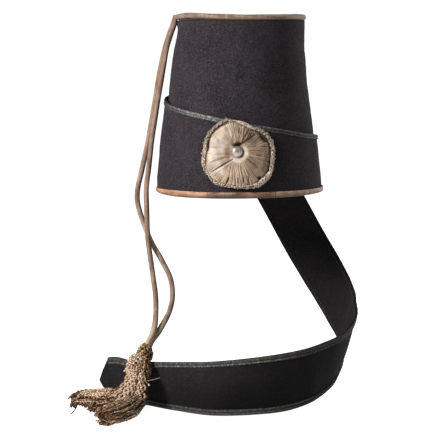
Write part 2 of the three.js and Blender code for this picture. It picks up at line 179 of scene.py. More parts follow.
# The threads' courses from the tassel's head: to the left into the tuft, and forwards into the bundle.
FLOW_LEFT = (
    (-122.5, -90, -210, 18, 17), (-125.5, -94, -220, 21, 20), (-132.5, -97, -229, 22, 22),
    (-143, -95, -234.5, 20, 22), (-156, -90, -237.5, 19, 24), (-170, -87, -239, 18, 26),
)
FLOW_FRONT = (
    (-121, -92, -210, 19, 17), (-121, -97, -220, 24, 22), (-121.5, -104, -230, 25, 24),
    (-125, -115, -236.5, 23, 25), (-131, -131, -239.8, 22, 28), (-141, -149, -240.8, 21.5, 34),
    (-153, -162, -241.5, 20, 37),
)


# ---- Numbers and curves ----------------------------------------------------------------------------------


def unit(vectors):
    """The vectors at length 1."""
    return vectors / np.maximum(np.linalg.norm(vectors, axis=-1, keepdims=True), 1e-12)


def smooth(value, start, end):
    """0 before start, 1 after end, and a smooth step between them."""
    share = np.clip((value - start) / (end - start), 0, 1)
    return share * share * (3 - 2 * share)


def bell(value, middle, width):
    """1 at the middle, falling smoothly to 0 on both sides."""
    return np.exp(-(((value - middle) / width) ** 2))


def look_up(table, column, place):
    """A column of a table at places along its first column."""
    return np.interp(place, next(iter(table.values())), table[column])


def polar(reach, angle, height):
    """Points at a reach and an angle, in radians, round the upright axis, and a height."""
    return np.stack(np.broadcast_arrays(reach * np.cos(angle), reach * np.sin(angle), height), -1)


def step_lengths(path):
    """The lengths of a path's steps."""
    return np.linalg.norm(np.diff(path, axis=0), axis=1)


def run_along(path):
    """The way gone at each point of a path."""
    return np.linalg.norm(np.gradient(path, axis=0), axis=1).cumsum()


def curve(points, shares):
    """Points at shares of a centripetal Catmull-Rom curve through the given ones."""
    p = np.asarray(points, float)
    p = np.vstack([2 * p[0] - p[1], p, 2 * p[-1] - p[-2]])
    place = np.asarray(shares) * (len(points) - 1)
    i = np.minimum(place.astype(int), len(points) - 2)
    t = (place - i)[:, None]
    a, b, c, d = (p[i + k] for k in range(4))
    ab, bc, cd = (np.maximum(np.linalg.norm(y - x, axis=1), 1e-9)[:, None] ** 0.5
                  for x, y in ((a, b), (b, c), (c, d)))
    m = ((b - a) / ab - (c - a) / (ab + bc) + (c - b) / bc) * bc
    n = ((c - b) / bc - (d - b) / (bc + cd) + (d - c) / cd) * bc
    return b + m * t + (3 * (c - b) - 2 * m - n) * t**2 + (2 * (b - c) + m + n) * t**3


def ripple(points, length, seed, waves=14):
    """Smooth random values of about -1 to 1, with bumps of about that length in millimetres."""
    random = np.random.default_rng(seed)
    way = unit(random.normal(size=(waves, 3))) * random.uniform(0.6, 1.6, (waves, 1))
    phase = random.uniform(0, 2 * math.pi, waves)
    return np.sin(points @ way.T * (2 * math.pi / length) + phase).sum(-1) / math.sqrt(waves)


# ---- The cap's own surfaces ------------------------------------------------------------------------------


def rim_shift(angle, z):
    """How far the worn rim lifts the felt, cloth and leather near it."""
    low, high = (look_up(RIM_WARP, edge, angle) for edge in ("low", "high"))
    share = np.clip(z / BINDING_HEIGHT, 0, 1)
    return (low + (high - low) * share) * (1 - smooth(z, BINDING_HEIGHT, WARP_TOP))


def on_cap(angle, z, out):
    """Points at an angle in degrees from the front, a height, and a distance outside the felt."""
    z = np.asarray(z, float)
    angle, z, out = np.broadcast_arrays(np.radians(angle), z + rim_shift(angle, z), out)
    radius, depth, lean = (look_up(CROWN_PROFILE, column, z) for column in ("radius", "depth", "lean"))
    x = (radius + out) * np.sin(angle)
    y = -(radius + out) * np.cos(angle) * depth
    slope = RIM_SLOPE * x * (1 - z / CROWN_HEIGHT)
    return np.stack([x + lean, y, z + slope], -1)


def gone(change, angle):
    """How far a gradual change of the wing has gone at an angle."""
    return change["by"] * smooth(-np.asarray(angle, float), -change["start"], -change["end"])


def wing_top(angle):
    """The height of the wing's upper edge at an angle."""
    return look_up(WING_TOP, "z", angle)


def wing_out(angle, z):
    """The distance of the wing's inner face from the felt."""
    rise = np.clip(z / wing_top(angle), 0, 1)
    side = -np.asarray(angle, float)
    slack = look_up(WING_SLACK, "by", z) * smooth(side, 40, 76) * (1 - smooth(side, 112, 150))
    return STANDOFF_RIM + (STANDOFF_UPPER - STANDOFF_RIM) * rise + gone(WING_LIFT, angle) + slack


def wing_point(angle, z, over):
    """A point over the wing's inner face. The cloth waves a little towards its upper edge."""
    angle, z = np.broadcast_arrays(np.asarray(angle, float), np.asarray(z, float))
    place = on_cap(angle, z, 0)
    wave = 0.45 * ripple(place, 46, 11) * smooth(z, 10, 60)
    return on_cap(angle, z, wing_out(angle, z) + over + wave)


TAIL_STEPS = 420
tail_shares = np.linspace(0, 1, TAIL_STEPS + 1)
tail_low = curve(TAIL_LOW, tail_shares)
tail_high = curve(TAIL_HIGH, tail_shares)
tail_high[:, 2] += 2 * bell(tail_high[:, 0], -146, 9) * smooth(tail_shares, 0.8, 0.9)
tail_width = np.linalg.norm(tail_high - tail_low, axis=1)
tail_across = unit(tail_high - tail_low)
tail_along = unit(unit(np.gradient(tail_low, axis=0)) + unit(np.gradient(tail_high, axis=0)))
tail_normal = unit(np.cross(tail_across, tail_along))


def tail_point(step, from_low, over):
    """Points of the tail at a step along it, a distance from its lower edge, and over its inner face."""
    step, from_low, over = np.broadcast_arrays(step, from_low, over)
    place = tail_low[step] + tail_across[step] * from_low[..., None]
    wave = 0.5 * ripple(place, 52, 5)
    bulge = 1.8 * np.sin(math.pi * from_low / tail_width[step]) * bell(step / TAIL_STEPS, 0.535, 0.04)
    return place + tail_normal[step] * (over + wave + bulge)[..., None]


# ---- Meshes ----------------------------------------------------------------------------------------------


class Shape:
    """Points in millimetres and faces, gathered from several parts, with named values at the points."""

    def __init__(self):
        self.points = []
        self.faces = []
        self.values = {}
        self.count = 0

    def add(self, points, faces, **values):
        """Adds points, the faces between them, and values: one for all the points, or one for each."""
        points = np.asarray(points, float).reshape(-1, 3)
        self.points.append(points)
        self.faces += [(np.asarray(face) + self.count).tolist() for face in faces]
        for name, value in values.items():
            each = np.asarray(value, float).reshape(-1)
            self.values.setdefault(name, []).append(np.broadcast_to(each, len(points)))
        self.count += len(points)
        return self


def grid_faces(rows, columns, close_rows=False, close_columns=False):
    """The four-sided faces of a grid of points, row by row."""
    r = np.arange(rows if close_rows else rows - 1)
    c = np.arange(columns if close_columns else columns - 1)
    r, c = (x.reshape(-1) for x in np.meshgrid(r, c, indexing="ij"))
    rn, cn = (r + 1) % rows, (c + 1) % columns
    return np.stack([r * columns + c, r * columns + cn, rn * columns + cn, rn * columns + c], 1)


def tube_faces(rows, columns):
    """The faces of a body through closed rows of points, with both ends."""
    ends = [np.arange(columns)[::-1], np.arange(columns) + (rows - 1) * columns]
    return [*grid_faces(rows, columns, close_columns=True), *ends]


def turned_faces(rows, columns):
    """The faces of a body whose rows go round an axis, closed by a face at each end of the rows."""
    first = np.arange(rows) * columns
    return [*grid_faces(rows, columns, close_rows=True), first, (first + columns - 1)[::-1]]


def loft(loops, **values):
    """A closed body through loops of points, (rows, points, 3)."""
    return Shape().add(loops, tube_faces(*loops.shape[:2]), **values)


def make(name, shape, material, nodes=()):
    """A piece of the cap from a shape, riding on the model's one body."""
    mesh = bpy.data.meshes.new(name)
    points = np.concatenate(shape.points) * MM
    mesh.from_pydata(points.tolist(), [], shape.faces)
    for key, parts in shape.values.items():
        mesh.attributes.new(key, "FLOAT", "POINT").data.foreach_set("value", np.concatenate(parts))
    mesh.shade_smooth()
    mesh.materials.append(material)
    piece = bpy.data.objects.new(name, mesh)
    bpy.context.scene.collection.objects.link(piece)
    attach(piece, "root")
    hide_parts(*nodes)
    return piece


def face_outwards(piece):
    """Turns a piece's faces to the outside."""
    work = bmesh.new()
    work.from_mesh(piece.data)
    bmesh.ops.recalc_face_normals(work, faces=work.faces)
    work.to_mesh(piece.data)
    work.free()
    return piece


def section_frames(paths):
    """Two directions across each of several paths, (paths, points, 3), that turn as little as they can."""
    along = unit(np.gradient(paths, axis=1))
    side = np.empty_like(along)
    guide = np.where(np.abs(along[:, :1, 1:2]) > 0.8, [[[1, 0, 0]]], [[[0, 1, 0]]])
    side[:, 0] = unit(np.cross(along[:, 0], guide[:, 0]))
    for i in range(1, paths.shape[1]):
        before = side[:, i - 1]
        side[:, i] = unit(before - along[:, i] * (before * along[:, i]).sum(-1, keepdims=True))
    return side, np.cross(along, side)


def ropes(shape, paths, radius, sides=6, lobes=1, depth=0, pitch=6, phase=0, tone=0.5):
    """Adds twisted strands along paths, (strands, points, 3). depth: a groove's depth as a share."""
    paths = np.asarray(paths, float)
    strands, n = paths.shape[:2]
    radius = np.broadcast_to(np.asarray(radius, float), (strands, n))
    phase = np.broadcast_to(np.asarray(phase, float).reshape(-1, 1, 1), (strands, 1, 1))
    side, other = section_frames(paths)
    run = np.linalg.norm(np.diff(paths, axis=1), axis=-1)
    run = np.concatenate([np.zeros((strands, 1)), np.cumsum(run, 1)], 1)
    turn = np.arange(sides) * 2 * math.pi / sides
    lobe = 0.5 - 0.5 * np.cos(lobes * (turn - 2 * math.pi * run[..., None] / pitch - phase))
    reach = radius[..., None] * (1 - depth * lobe**1.5)
    points = (paths[:, :, None]
              + side[:, :, None] * (reach * np.cos(turn))[..., None]
              + other[:, :, None] * (reach * np.sin(turn))[..., None])
    faces = tube_faces(n, sides)
    tone = np.asarray(tone, float)
    tones = np.broadcast_to(tone if tone.ndim == 2 else tone.reshape(-1, 1), (strands, n))
    for k in range(strands):
        # groove and deep mark each twist's hollow; the cord, ribbon and braid finishes darken it as painted
        # shade.
        shape.add(points[k], faces, groove=lobe[k], deep=0.6 * lobe[k], tone=np.repeat(tones[k], sides))
    return shape


def body_point(rings, along, turn, share):
    """Points of a tassel part: along it from 0 to 1, at a turn about its middle, a share of its reach."""
    along, turn, share = np.broadcast_arrays(along, turn, share)
    flat = along.reshape(-1)
    step = 0.01
    rings = np.array(rings)
    course = rings[:, :3]
    middle, ahead, behind = (curve(course, np.clip(flat + k, 0, 1)) for k in (0, step, -step))
    way = unit(ahead - behind)
    wide, deep = (np.interp(flat, np.linspace(0, 1, len(rings)), rings[:, k]) / 2 for k in (3, 4))
    first, last = course[0], course[-1]
    steep = abs(unit(last - first)[2]) > 0.6
    guide = np.array([0, 1, 0]) if steep else np.array([0, 0, 1])
    level = unit(np.cross(way, guide))
    other = np.cross(way, level)
    a, b = (wide, deep) if steep else (deep, wide)
    beyond = np.where(flat > 1, flat - 1, 0) * np.linalg.norm(last - first)
    reach = share.reshape(-1)
    points = (middle + way * beyond[:, None]
              + level * (a * reach * np.cos(turn.reshape(-1)))[:, None]
              + other * (b * reach * np.sin(turn.reshape(-1)))[:, None])
    return points.reshape(*along.shape, 3)


# ---- Materials -------------------------------------------------------------------------------------------


def linear(code):
    """A colour written as six hex digits, as linear light with full alpha."""
    parts = [int(code[i : i + 2], 16) / 255 for i in (0, 2, 4)]
    return [c / 12.92 if c <= 0.04045 else ((c + 0.055) / 1.055) ** 2.4 for c in parts] + [1]


class Finish:
    """A material of one Principled shader, with short calls for the nodes that drive it."""

    def __init__(self, name, **settings):
        self.material = bpy.data.materials.new(name)
        self.material.use_nodes = True
        self.tree = self.material.node_tree
        self.shader = self.tree.nodes["Principled BSDF"]
        for key, value in settings.items():
            self.shader.inputs[key.replace("_", " ")].default_value = value
        self.place = self.tree.nodes.new("ShaderNodeTexCoord").outputs["Object"]
        self.heights = []

    def node(self, kind, **settings):
        made = self.tree.nodes.new(kind)
        for key, value in settings.items():
            setattr(made, key, value)
        return made

    def link(self, source, target):
        self.tree.links.new(source, target)

    def value(self, name):
        """A named value that the mesh carries."""
        return self.node("ShaderNodeAttribute", attribute_name=name).outputs["Fac"]

    def noise(self, size, detail=3, rough=0.5, stretch=(1, 1, 1)):
        """Noise with spots of about that size in millimetres, longer where there is a stretch."""
        scaled = self.node("ShaderNodeMapping")
        scaled.inputs["Scale"].default_value = [1 / s for s in stretch]
        self.link(self.place, scaled.inputs["Vector"])
        made = self.node("ShaderNodeTexNoise")
        made.inputs["Scale"].default_value = 1 / (size * MM)
        made.inputs["Detail"].default_value = detail
        made.inputs["Roughness"].default_value = rough
        self.link(scaled.outputs["Vector"], made.inputs["Vector"])
        return made.outputs["Fac"]

    def ramp(self, source, *stops):
        """Colours by a value: stops of a place and a hex colour."""
        made = self.node("ShaderNodeValToRGB")
        marks = made.color_ramp.elements
        while len(marks) < len(stops):
            marks.new(0.5)
        for mark, (place, colour) in zip(marks, stops):
            mark.position = place
            mark.color = linear(colour)
        self.link(source, made.inputs["Fac"])
        return made.outputs["Color"]

    def fill(self, target, source):
        """Gives an input a socket's value, a hex colour or a number."""
        if isinstance(source, bpy.types.NodeSocket):
            self.link(source, target)
        else:
            target.default_value = linear(source) if isinstance(source, str) else source

    def mix(self, share, first, second, kind="MIX"):
        """Two colours mixed by a share, each a socket or a hex colour."""
        made = self.node("ShaderNodeMix", data_type="RGBA", blend_type=kind)
        for index, source in ((0, share), (6, first), (7, second)):
            self.fill(made.inputs[index], source)
        return made.outputs[2]

    def math(self, kind, first, second):
        """A sum, product or the like of two sockets or numbers."""
        made = self.node("ShaderNodeMath", operation=kind)
        self.fill(made.inputs[0], first)
        self.fill(made.inputs[1], second)
        return made.outputs[0]

    def mask(self, source, start, end):
        """Black where the source is under start, white where it is over end."""
        return self.ramp(source, (start, "000000"), (end, "ffffff"))

    def tint(self, ground, share, most, colour):
        """The ground mixed with a colour by a share of the most it may be."""
        return self.mix(self.math("MULTIPLY", share, most), ground, colour)

    def spots(self, ground, noise, span, most, colour):
        """The ground with soft spots of a colour, where a noise is within or over a span."""
        return self.tint(ground, self.mask(self.noise(*noise), *span), most, colour)

    def colour(self, source):
        self.link(source, self.shader.inputs["Base Color"])

    def rough(self, source, low, high):
        """Roughness by a value from 0 to 1."""
        made = self.node("ShaderNodeMapRange")
        made.inputs["To Min"].default_value = low
        made.inputs["To Max"].default_value = high
        self.link(source, made.inputs["Value"])
        self.link(made.outputs["Result"], self.shader.inputs["Roughness"])

    def bump(self, source, depth, strength=1):
        """Adds relief of that depth in millimetres."""
        made = self.node("ShaderNodeBump")
        made.inputs["Strength"].default_value = strength
        made.inputs["Distance"].default_value = depth * MM
        self.link(source, made.inputs["Height"])
        if self.heights:
            self.link(self.heights[-1], made.inputs["Normal"])
        self.heights.append(made.outputs["Normal"])
        self.link(made.outputs["Normal"], self.shader.inputs["Normal"])


def wool(name, dark, mid, light, brown, speck, lit=False):
    """Milled wool: a dark ground with flecks, lint and a soft nap. lit: the colour is scaled by painted
    light and shade.
    """
    f = Finish(name, Roughness=0.92, Sheen_Weight=0.06, Sheen_Roughness=0.4, Specular_IOR_Level=0.12)
    f.shader.inputs["Sheen Tint"].default_value = linear("b9b0b4")
    ground = f.ramp(f.noise(1.7, 4, 0.65), (0.3, dark), (0.5, mid), (0.7, light))
    ground = f.spots(ground, (3.4, 3, 0.6), (0.52, 0.7), 0.7, brown)
    ground = f.spots(ground, (6, 3, 0.6), (0.4, 0.62), 0.28, dark)
    ground = f.spots(ground, (38, 3, 0.6), (0.35, 0.75), 0.28, light)
    ground = f.spots(ground, (1.1, 2, 0.5), (0.74, 0.8), 0.5, speck)
    f.colour(f.mix(1, ground, f.value("lit"), "MULTIPLY") if lit else ground)
    f.bump(f.noise(1.3, 4, 0.7), 0.55, 0.9)
    f.bump(f.noise(14, 3, 0.5), 0.5, 0.5)
    return f.material


FELT_FINISH = wool("felt", "151114", "332d31", "554e55", "413432", "8a8a80")
CLOTH_FINISH = wool("wing_cloth", "151114", "322c30", "534d53", "3f3331", "828278")
# The tail's cloth: a darker copy of the wing's, as painted shade, scaled by the mesh's painted light and
# shade.
TAIL_SHADED_FINISH = wool("tail_cloth", "0f0d0e", "1a1819", "2b2829", "261f1d", "5a5a50", lit=True)


def braid_finish(name, fresh, worn, speck):
    """Woollen braid: its colours where fresh or shaded and where rubbed or lit, from dark to light, and its
    flecks.
    """
    f = Finish(name, Roughness=0.85, Sheen_Weight=0.1, Sheen_Roughness=0.5, Specular_IOR_Level=0.2)
    grain = f.noise(1.7, 3, 0.65)
    wear = f.value("wear")
    ground, rubbed = (f.ramp(grain, *zip((0.32, 0.5, 0.68), colours)) for colours in (fresh, worn))
    flecks = f.mask(f.noise(2.6, 2, 0.6), 0.54, 0.64)
    flecked = f.tint(f.mix(wear, ground, rubbed), flecks, wear, speck)
    kept = f.math("SUBTRACT", 1, f.math("MULTIPLY", f.math("MULTIPLY", wear, wear), 0.85))
    # Painted shade in the grooves between the cords, less where the braid is worn or lit.
    f.colour(f.tint(flecked, f.mask(f.value("groove"), 0.3, 0.9), kept, "10110f"))
    f.bump(f.noise(0.9, 3, 0.6), 0.35, 0.8)
    return f.material


BRAID_FINISH = braid_finish("braid_wool", ("1d1e1c", "333432", "4c4c4a"), ("3a3a39", "6d6b69", "908e8b"),
                            "b0aeab")
TAIL_BRAID_FINISH = braid_finish("tail_braid_wool", ("1b1b19", "2f2e2b", "4a4945"),
                                 ("302f2c", "5b5955", "827f79"), "a09d97")
STITCH_COLOURS = ("3a3a38", "4c4b48", "5e5d59")
STITCH_FINISH = braid_finish("stitch_thread", STITCH_COLOURS, STITCH_COLOURS, "6a6964")


def leather_finish():
    """Rim leather of three browns, lighter on its worn edge, dark in its seams, darker at its lower edge
    with painted shade.
    """
    f = Finish("binding_leather", Specular_IOR_Level=0.35)
    skin = f.ramp(f.noise(5, 4, 0.6, (3, 3, 1)), (0.3, "8e6450"), (0.5, "c18d6d"), (0.7, "e2b797"))
    mauve = f.ramp(f.noise(4, 4, 0.65, (3, 3, 1)), (0.3, "45322a"), (0.5, "6a4e43"), (0.7, "92715c"))
    pale = f.ramp(f.noise(4, 4, 0.65, (2, 2, 1)), (0.3, "a98370"), (0.5, "dab198"), (0.7, "f4d6c2"))
    # crease darkens the seams and, as painted shade, the lower edge.
    for share, over in (("mauve", mauve), ("pale", pale), ("edge", "d9b391"), ("crease", "33231a")):
        skin = f.mix(f.value(share), skin, over)
    f.colour(skin)
    f.rough(f.noise(6, 3), 0.45, 0.75)
    f.bump(f.noise(0.9, 4, 0.6), 0.25, 0.7)
    f.bump(f.noise(7, 3, 0.5), 0.4, 0.5)
    return f.material


LEATHER_FINISH = leather_finish()


def cord_finish():
    """Faded brown silk, paler where rubbed and where light is painted on, with painted shade in its twists
    and on one side.
    """
    f = Finish("cord_silk", Roughness=0.62, Sheen_Weight=0.15, Specular_IOR_Level=0.3)
    ground = f.ramp(f.noise(5, 4, 0.65, (1, 1, 4)), (0.28, "6e5244"), (0.5, "977763"), (0.72, "bc9e88"))
    ground = f.spots(ground, (24, 3, 0.6), (0.45, 0.75), 0.5, "d0b7a4")
    # tone: paler where rubbed, and painted light where a strand passes behind the other.
    ground = f.mix(f.value("tone"), ground, "dcc3a6")
    # Painted shade: groove darkens the twists and the side turned from the light.
    f.colour(f.tint(ground, f.mask(f.value("groove"), 0.2, 1), 0.8, "4a3629"))
    f.bump(f.noise(0.8, 3, 0.6), 0.22, 0.7)
    return f.material


CORD_FINISH = cord_finish()


def ribbon_finish():
    """Silver ribbon gone ivory, darkened with painted shade in its folds, slits and gaps."""
    f = Finish("silver_ribbon", Roughness=0.46, Metallic=0.03, Specular_IOR_Level=0.42, Sheen_Weight=0.1)
    ground = f.ramp(f.value("tone"), (0, "3f2c1c"), (0.3, "785a3f"), (0.55, "a78667"), (0.8, "d2b79c"),
                    (1, "ead9ca"))
    ground = f.spots(ground, (6, 4, 0.65), (0.42, 0.75), 0.45, "84664c")
    ground = f.spots(ground, (0.9, 3, 0.6), (0.35, 0.65), 0.22, "f4ead8")
    # Painted shade: deep darkens the ribbon towards this brown.
    f.colour(f.mix(f.value("deep"), ground, "2b1d10"))
    f.bump(f.noise(0.7, 3, 0.6), 0.3, 0.8)
    return f.material


RIBBON_FINISH = ribbon_finish()


def pewter_finish():
    """Dull grey metal."""
    f = Finish("pewter", Metallic=0.6)
    f.colour(f.ramp(f.noise(3.5, 4, 0.6), (0.3, "8d817c"), (0.6, "bcb0ac"), (0.8, "dcd2ce")))
    f.rough(f.noise(2.5, 4, 0.6), 0.3, 0.5)
    f.bump(f.noise(1.2, 3), 0.08, 0.6)
    return f.material


PEWTER_FINISH = pewter_finish()


def bullion_finish():
    """Old silver-gilt thread: pale on the crests, brown in the twists, darkest on the inner bodies painted
    as shade.
    """
    f = Finish("bullion", Metallic=0.15, Specular_IOR_Level=0.45)
    ground = f.ramp(f.value("tone"), (0, "35210f"), (0.3, "8a623f"), (0.6, "cfa379"), (1, "ffe4c6"))
    ground = f.spots(ground, (4, 4, 0.65), (0.42, 0.7), 0.4, "7c5a3a")
    f.colour(f.tint(ground, f.mask(f.value("groove"), 0.3, 0.95), 0.85, "2c1c0f"))
    f.rough(f.value("groove"), 0.45, 1)
    f.bump(f.noise(0.6, 2, 0.6), 0.2, 0.7)
    return f.material


BULLION_FINISH = bullion_finish()


# ---- Camera, cords, floor and light ----------------------------------------------------------------------


# In metres, degrees below level, and millimetres.
CAMERA_PLACE = (-0.0282, -2.31, 0.2078)
CAMERA_TILT = 5.914
CAMERA_LENS = 160.25
# The lights: name, place in metres, power in watts and diameter in metres.
LIGHTS = (("key", (-1.9, -1.55, 1.05), 74, 0.7), ("rim", (1.9, 1.25, 0.7), 17, 1))
FILL_STRENGTH = 0.175
BACKDROP_STRENGTH = 1.05
FLOOR_GLOW = 0.93
FLOOR_REACH = 60
FLOOR_BELOW = 0.0008


def put(name, data):
    """An object in the scene with that name and data."""
    made = bpy.data.objects.new(name, data)
    bpy.context.scene.collection.objects.link(made)
    return made


def camera():
    """The photograph's view: far off, a little above the rim, looking slightly down."""
    data = bpy.data.cameras.new("camera")
    data.sensor_width = 36
    data.lens = CAMERA_LENS
    made = put("camera", data)
    made.location = CAMERA_PLACE
    made.rotation_euler = (math.radians(90 - CAMERA_TILT), 0, 0)
    bpy.context.scene.camera = made


camera()


CORD_SIDES = 16
CORD_RADIUS = CORD_DIAMETER / MM / 2 * CORD_PILE
CROSSING_HEIGHT = -58


def firm_cord(line, size, tone, way, reach, pitch, phase=0, share=1):
    """A firm round cord along a line, with painted shade on the side that looks along way."""
    shape = ropes(Shape(), [line], size[None], sides=CORD_SIDES, lobes=3, depth=0.04, pitch=pitch,
                  phase=phase, tone=tone[None])
    # Painted shade on the side turned along way, scaled by share, carried in groove.
    off = (np.concatenate(shape.points) - np.repeat(line, CORD_SIDES, 0)) @ np.array(way, float) / reach
    dark = smooth(off, 0.3, 0.95) * np.repeat(np.broadcast_to(share, len(line)), CORD_SIDES)
    shape.values["groove"] = [np.clip(0.5 * shape.values["groove"][0] + dark, 0, 1)]
    return shape


def cord_strand(name, route, phase, press, pale, behind, bend):
    """One strand of the hanging cord, pressed sideways and paler just above the knot, and its path.

    behind: how much light is painted on it where it passes behind the other one. bend: the height where it
    bows out.
    """
    path = curve(route, np.linspace(0, 1, 420))
    z = path[:, 2] / MM
    low = smooth(-z, 138, 158)
    aside = press * low + 0.5 + 0.6 * smooth(z, 186, 203) - 0.4 * smooth(-z, 20, 60) - bell(z, bend, 18)
    line = path / MM + aside[:, None] * np.array([1, 0, 0])
    # Painted light where it passes behind the other strand, which also lifts its painted shade; less
    # painted shade just above the knot.
    crossing_light = behind * bell(z, CROSSING_HEIGHT, 18)
    tone = pale * smooth(-z, 146, 166) + crossing_light
    shape = firm_cord(line, CORD_RADIUS * (1 + 0.13 * low), tone, (1, 0, 0), CORD_RADIUS, 160, phase,
                      1 - 0.75 * low - crossing_light)
    return make("cord_strand_" + name, shape, CORD_FINISH, ["cord_" + name]), path


strand_outer, outer_path = cord_strand("outer", CORD_OUTER_ROUTE, 0.4, -1.8, 0.65, 0.9, -8)
strand_inner, inner_path = cord_strand("inner", CORD_INNER_ROUTE, 1.3, 0.4, 0.7, 0, 5)


def area_light(name, place, power, size):
    """A round white light that shines at the middle of the scene."""
    data = bpy.data.lights.new(name, "AREA")
    data.shape = "DISK"
    data.size = size
    data.energy = power
    made = put(name, data)
    made.location = place
    x, y, z = place
    made.rotation_euler = (math.acos(z / math.hypot(x, y, z)), 0, math.atan2(-y, -x) - math.pi / 2)


def studio():
    """A white surround, with one soft key from the left and a weak one from the right."""
    scene = bpy.context.scene
    scene.view_settings.view_transform = "Standard"
    world = bpy.data.worlds.new("studio")
    scene.world = world
    world.use_nodes = True
    tree = world.node_tree
    seen = tree.nodes.new("ShaderNodeMixShader")
    tree.links.new(tree.nodes.new("ShaderNodeLightPath").outputs["Is Camera Ray"], seen.inputs["Fac"])
    fill, backdrop = tree.nodes["Background"], tree.nodes.new("ShaderNodeBackground")
    for index, ground, strength in ((1, fill, FILL_STRENGTH), (2, backdrop, BACKDROP_STRENGTH)):
        ground.inputs["Color"].default_value = (1, 1, 1, 1)
        ground.inputs["Strength"].default_value = strength
        tree.links.new(ground.outputs["Background"], seen.inputs[index])
    tree.links.new(seen.outputs["Shader"], tree.nodes["World Output"].inputs["Surface"])
    for light in LIGHTS:
        area_light(*light)


studio()


def floor():
    """A pale studio floor just under the hanging tail and tassel."""
    surface = Finish("floor", Roughness=0.8, Emission_Color=(1, 1, 1, 1), Emission_Strength=FLOOR_GLOW)
    surface.colour(surface.ramp(surface.noise(900, 2), (0.3, "f2f2f1"), (0.7, "f6f6f6")))
    mesh = bpy.data.meshes.new("floor")
    level = cad_box[0][2] - FLOOR_BELOW
    corners = [(x * FLOOR_REACH, y * FLOOR_REACH, level) for x, y in ((-1, -1), (1, -1), (1, 1), (-1, 1))]
    mesh.from_pydata(corners, [], [(0, 1, 2, 3)])
    mesh.materials.append(surface.material)
    made = put("floor", mesh)
    made.visible_diffuse = False


floor()

# ---- Crown, top and rim ----------------------------------------------------------------------------------


def closed_turn(outline, columns, relief, values=None):
    """A ring round the cap from a closed outline of (distance outside the felt, height) points."""
    angle = (np.arange(columns) * 360 / columns - 180)[:, None]
    out, z = np.array(outline, float).T
    points = on_cap(angle, z, out + relief(on_cap(angle, z, out), angle, z))
    carried = {} if values is None else values(points, angle, z)
    return Shape().add(points, grid_faces(columns, len(z), True, True), **carried)


def crown():
    """The felt cone, with the slight unevenness of hand-blocked wool."""
    worn = 0.5
    outside = [(0, z) for z in np.linspace(WALL_BOTTOM, CROWN_HEIGHT - worn, 64)]
    inside = [(-FELT, z) for z in np.linspace(CROWN_HEIGHT - worn, WALL_BOTTOM, 16)]
    outline = [*outside, (-worn, CROWN_HEIGHT), (worn - FELT, CROWN_HEIGHT), *inside]

    def relief(place, angle, z):
        drawn = 3.2 * smooth(z, 193, 202) * bell(angle, -90, 7)
        return drawn + 0.35 * ripple(place, 48, 3) + 0.12 * ripple(place, 11, 4)

    shape = closed_turn(outline, 240, relief)
    face_outwards(make("crown_felt", shape, FELT_FINISH, ["crown"]))


def crown_top():
    """The flat top, a little sunk in its middle."""
    share = np.linspace(0, 1, 26)[:, None]
    reach = CROWN_PROFILE["radius"][-1] - 0.1
    flat = polar(reach * share, np.linspace(0, 2 * math.pi, 120, endpoint=False), 0)
    flat[..., 0] += TOP_CORD["lean"]
    dip = 0.9 * (1 - smooth(share, 0.2, 0.95)) + 0.25 * ripple(flat, 34, 8)
    seat = look_up(TOP_CORD_SAG, "z", flat[..., 0]) - TOP_CORD["diameter"] / 2
    middle = CROWN_HEIGHT + 2.5 - dip
    level = middle + (np.minimum(seat + 0.1, middle) - middle) * smooth(share, 0.84, 0.93)
    upper = flat + np.array([0, 0, 1]) * level[..., None]
    lower = flat[::-1] + np.array([0, 0, CROWN_HEIGHT - 0.4])
    shape = loft(np.concatenate([upper[1:], lower[:-1]]))
    face_outwards(make("crown_top_felt", shape, FELT_FINISH, ["crown_top"]))


def top_cord():
    """The thick cord round the top. Its two ends turn down at the left into the hanging strands."""
    turn = np.radians(np.linspace(-86, 266, 320))
    x = TOP_CORD["lean"] + TOP_CORD["radius"] * np.sin(turn)
    ring = np.stack([x, -TOP_CORD["radius"] * np.cos(turn), look_up(TOP_CORD_SAG, "z", x)], -1)
    ring[:, 2] += 0.15 * ripple(ring, 30, 21)
    front = [(-77.2, -3.6, 205.2), (-76.6, -3.5, 206.4), (-75, -3.8, 207.2), (-73, -4.8, 207.6)]
    back = [(-73, 4.8, 207.6), (-75, 3.8, 207.2), (-76.6, 3.5, 206.4), (-77.2, 3.5, 205.2)]
    steps = np.arange(600)
    path = curve([*front, *ring[2:-2:6], *back], steps / steps[-1])
    from_end = smooth(np.minimum(steps, steps[::-1]), 0, 40)
    reach = TOP_CORD["diameter"] / 2
    size = CORD_RADIUS + (reach - CORD_RADIUS) * from_end
    # Painted shade on its underside; paler towards the right.
    shape = firm_cord(path, size, 0.55 * smooth(path[:, 0], 5, 60), (0, 0, -1), reach, 150)
    make("top_cord_rope", shape, CORD_FINISH, ["top_cord"])


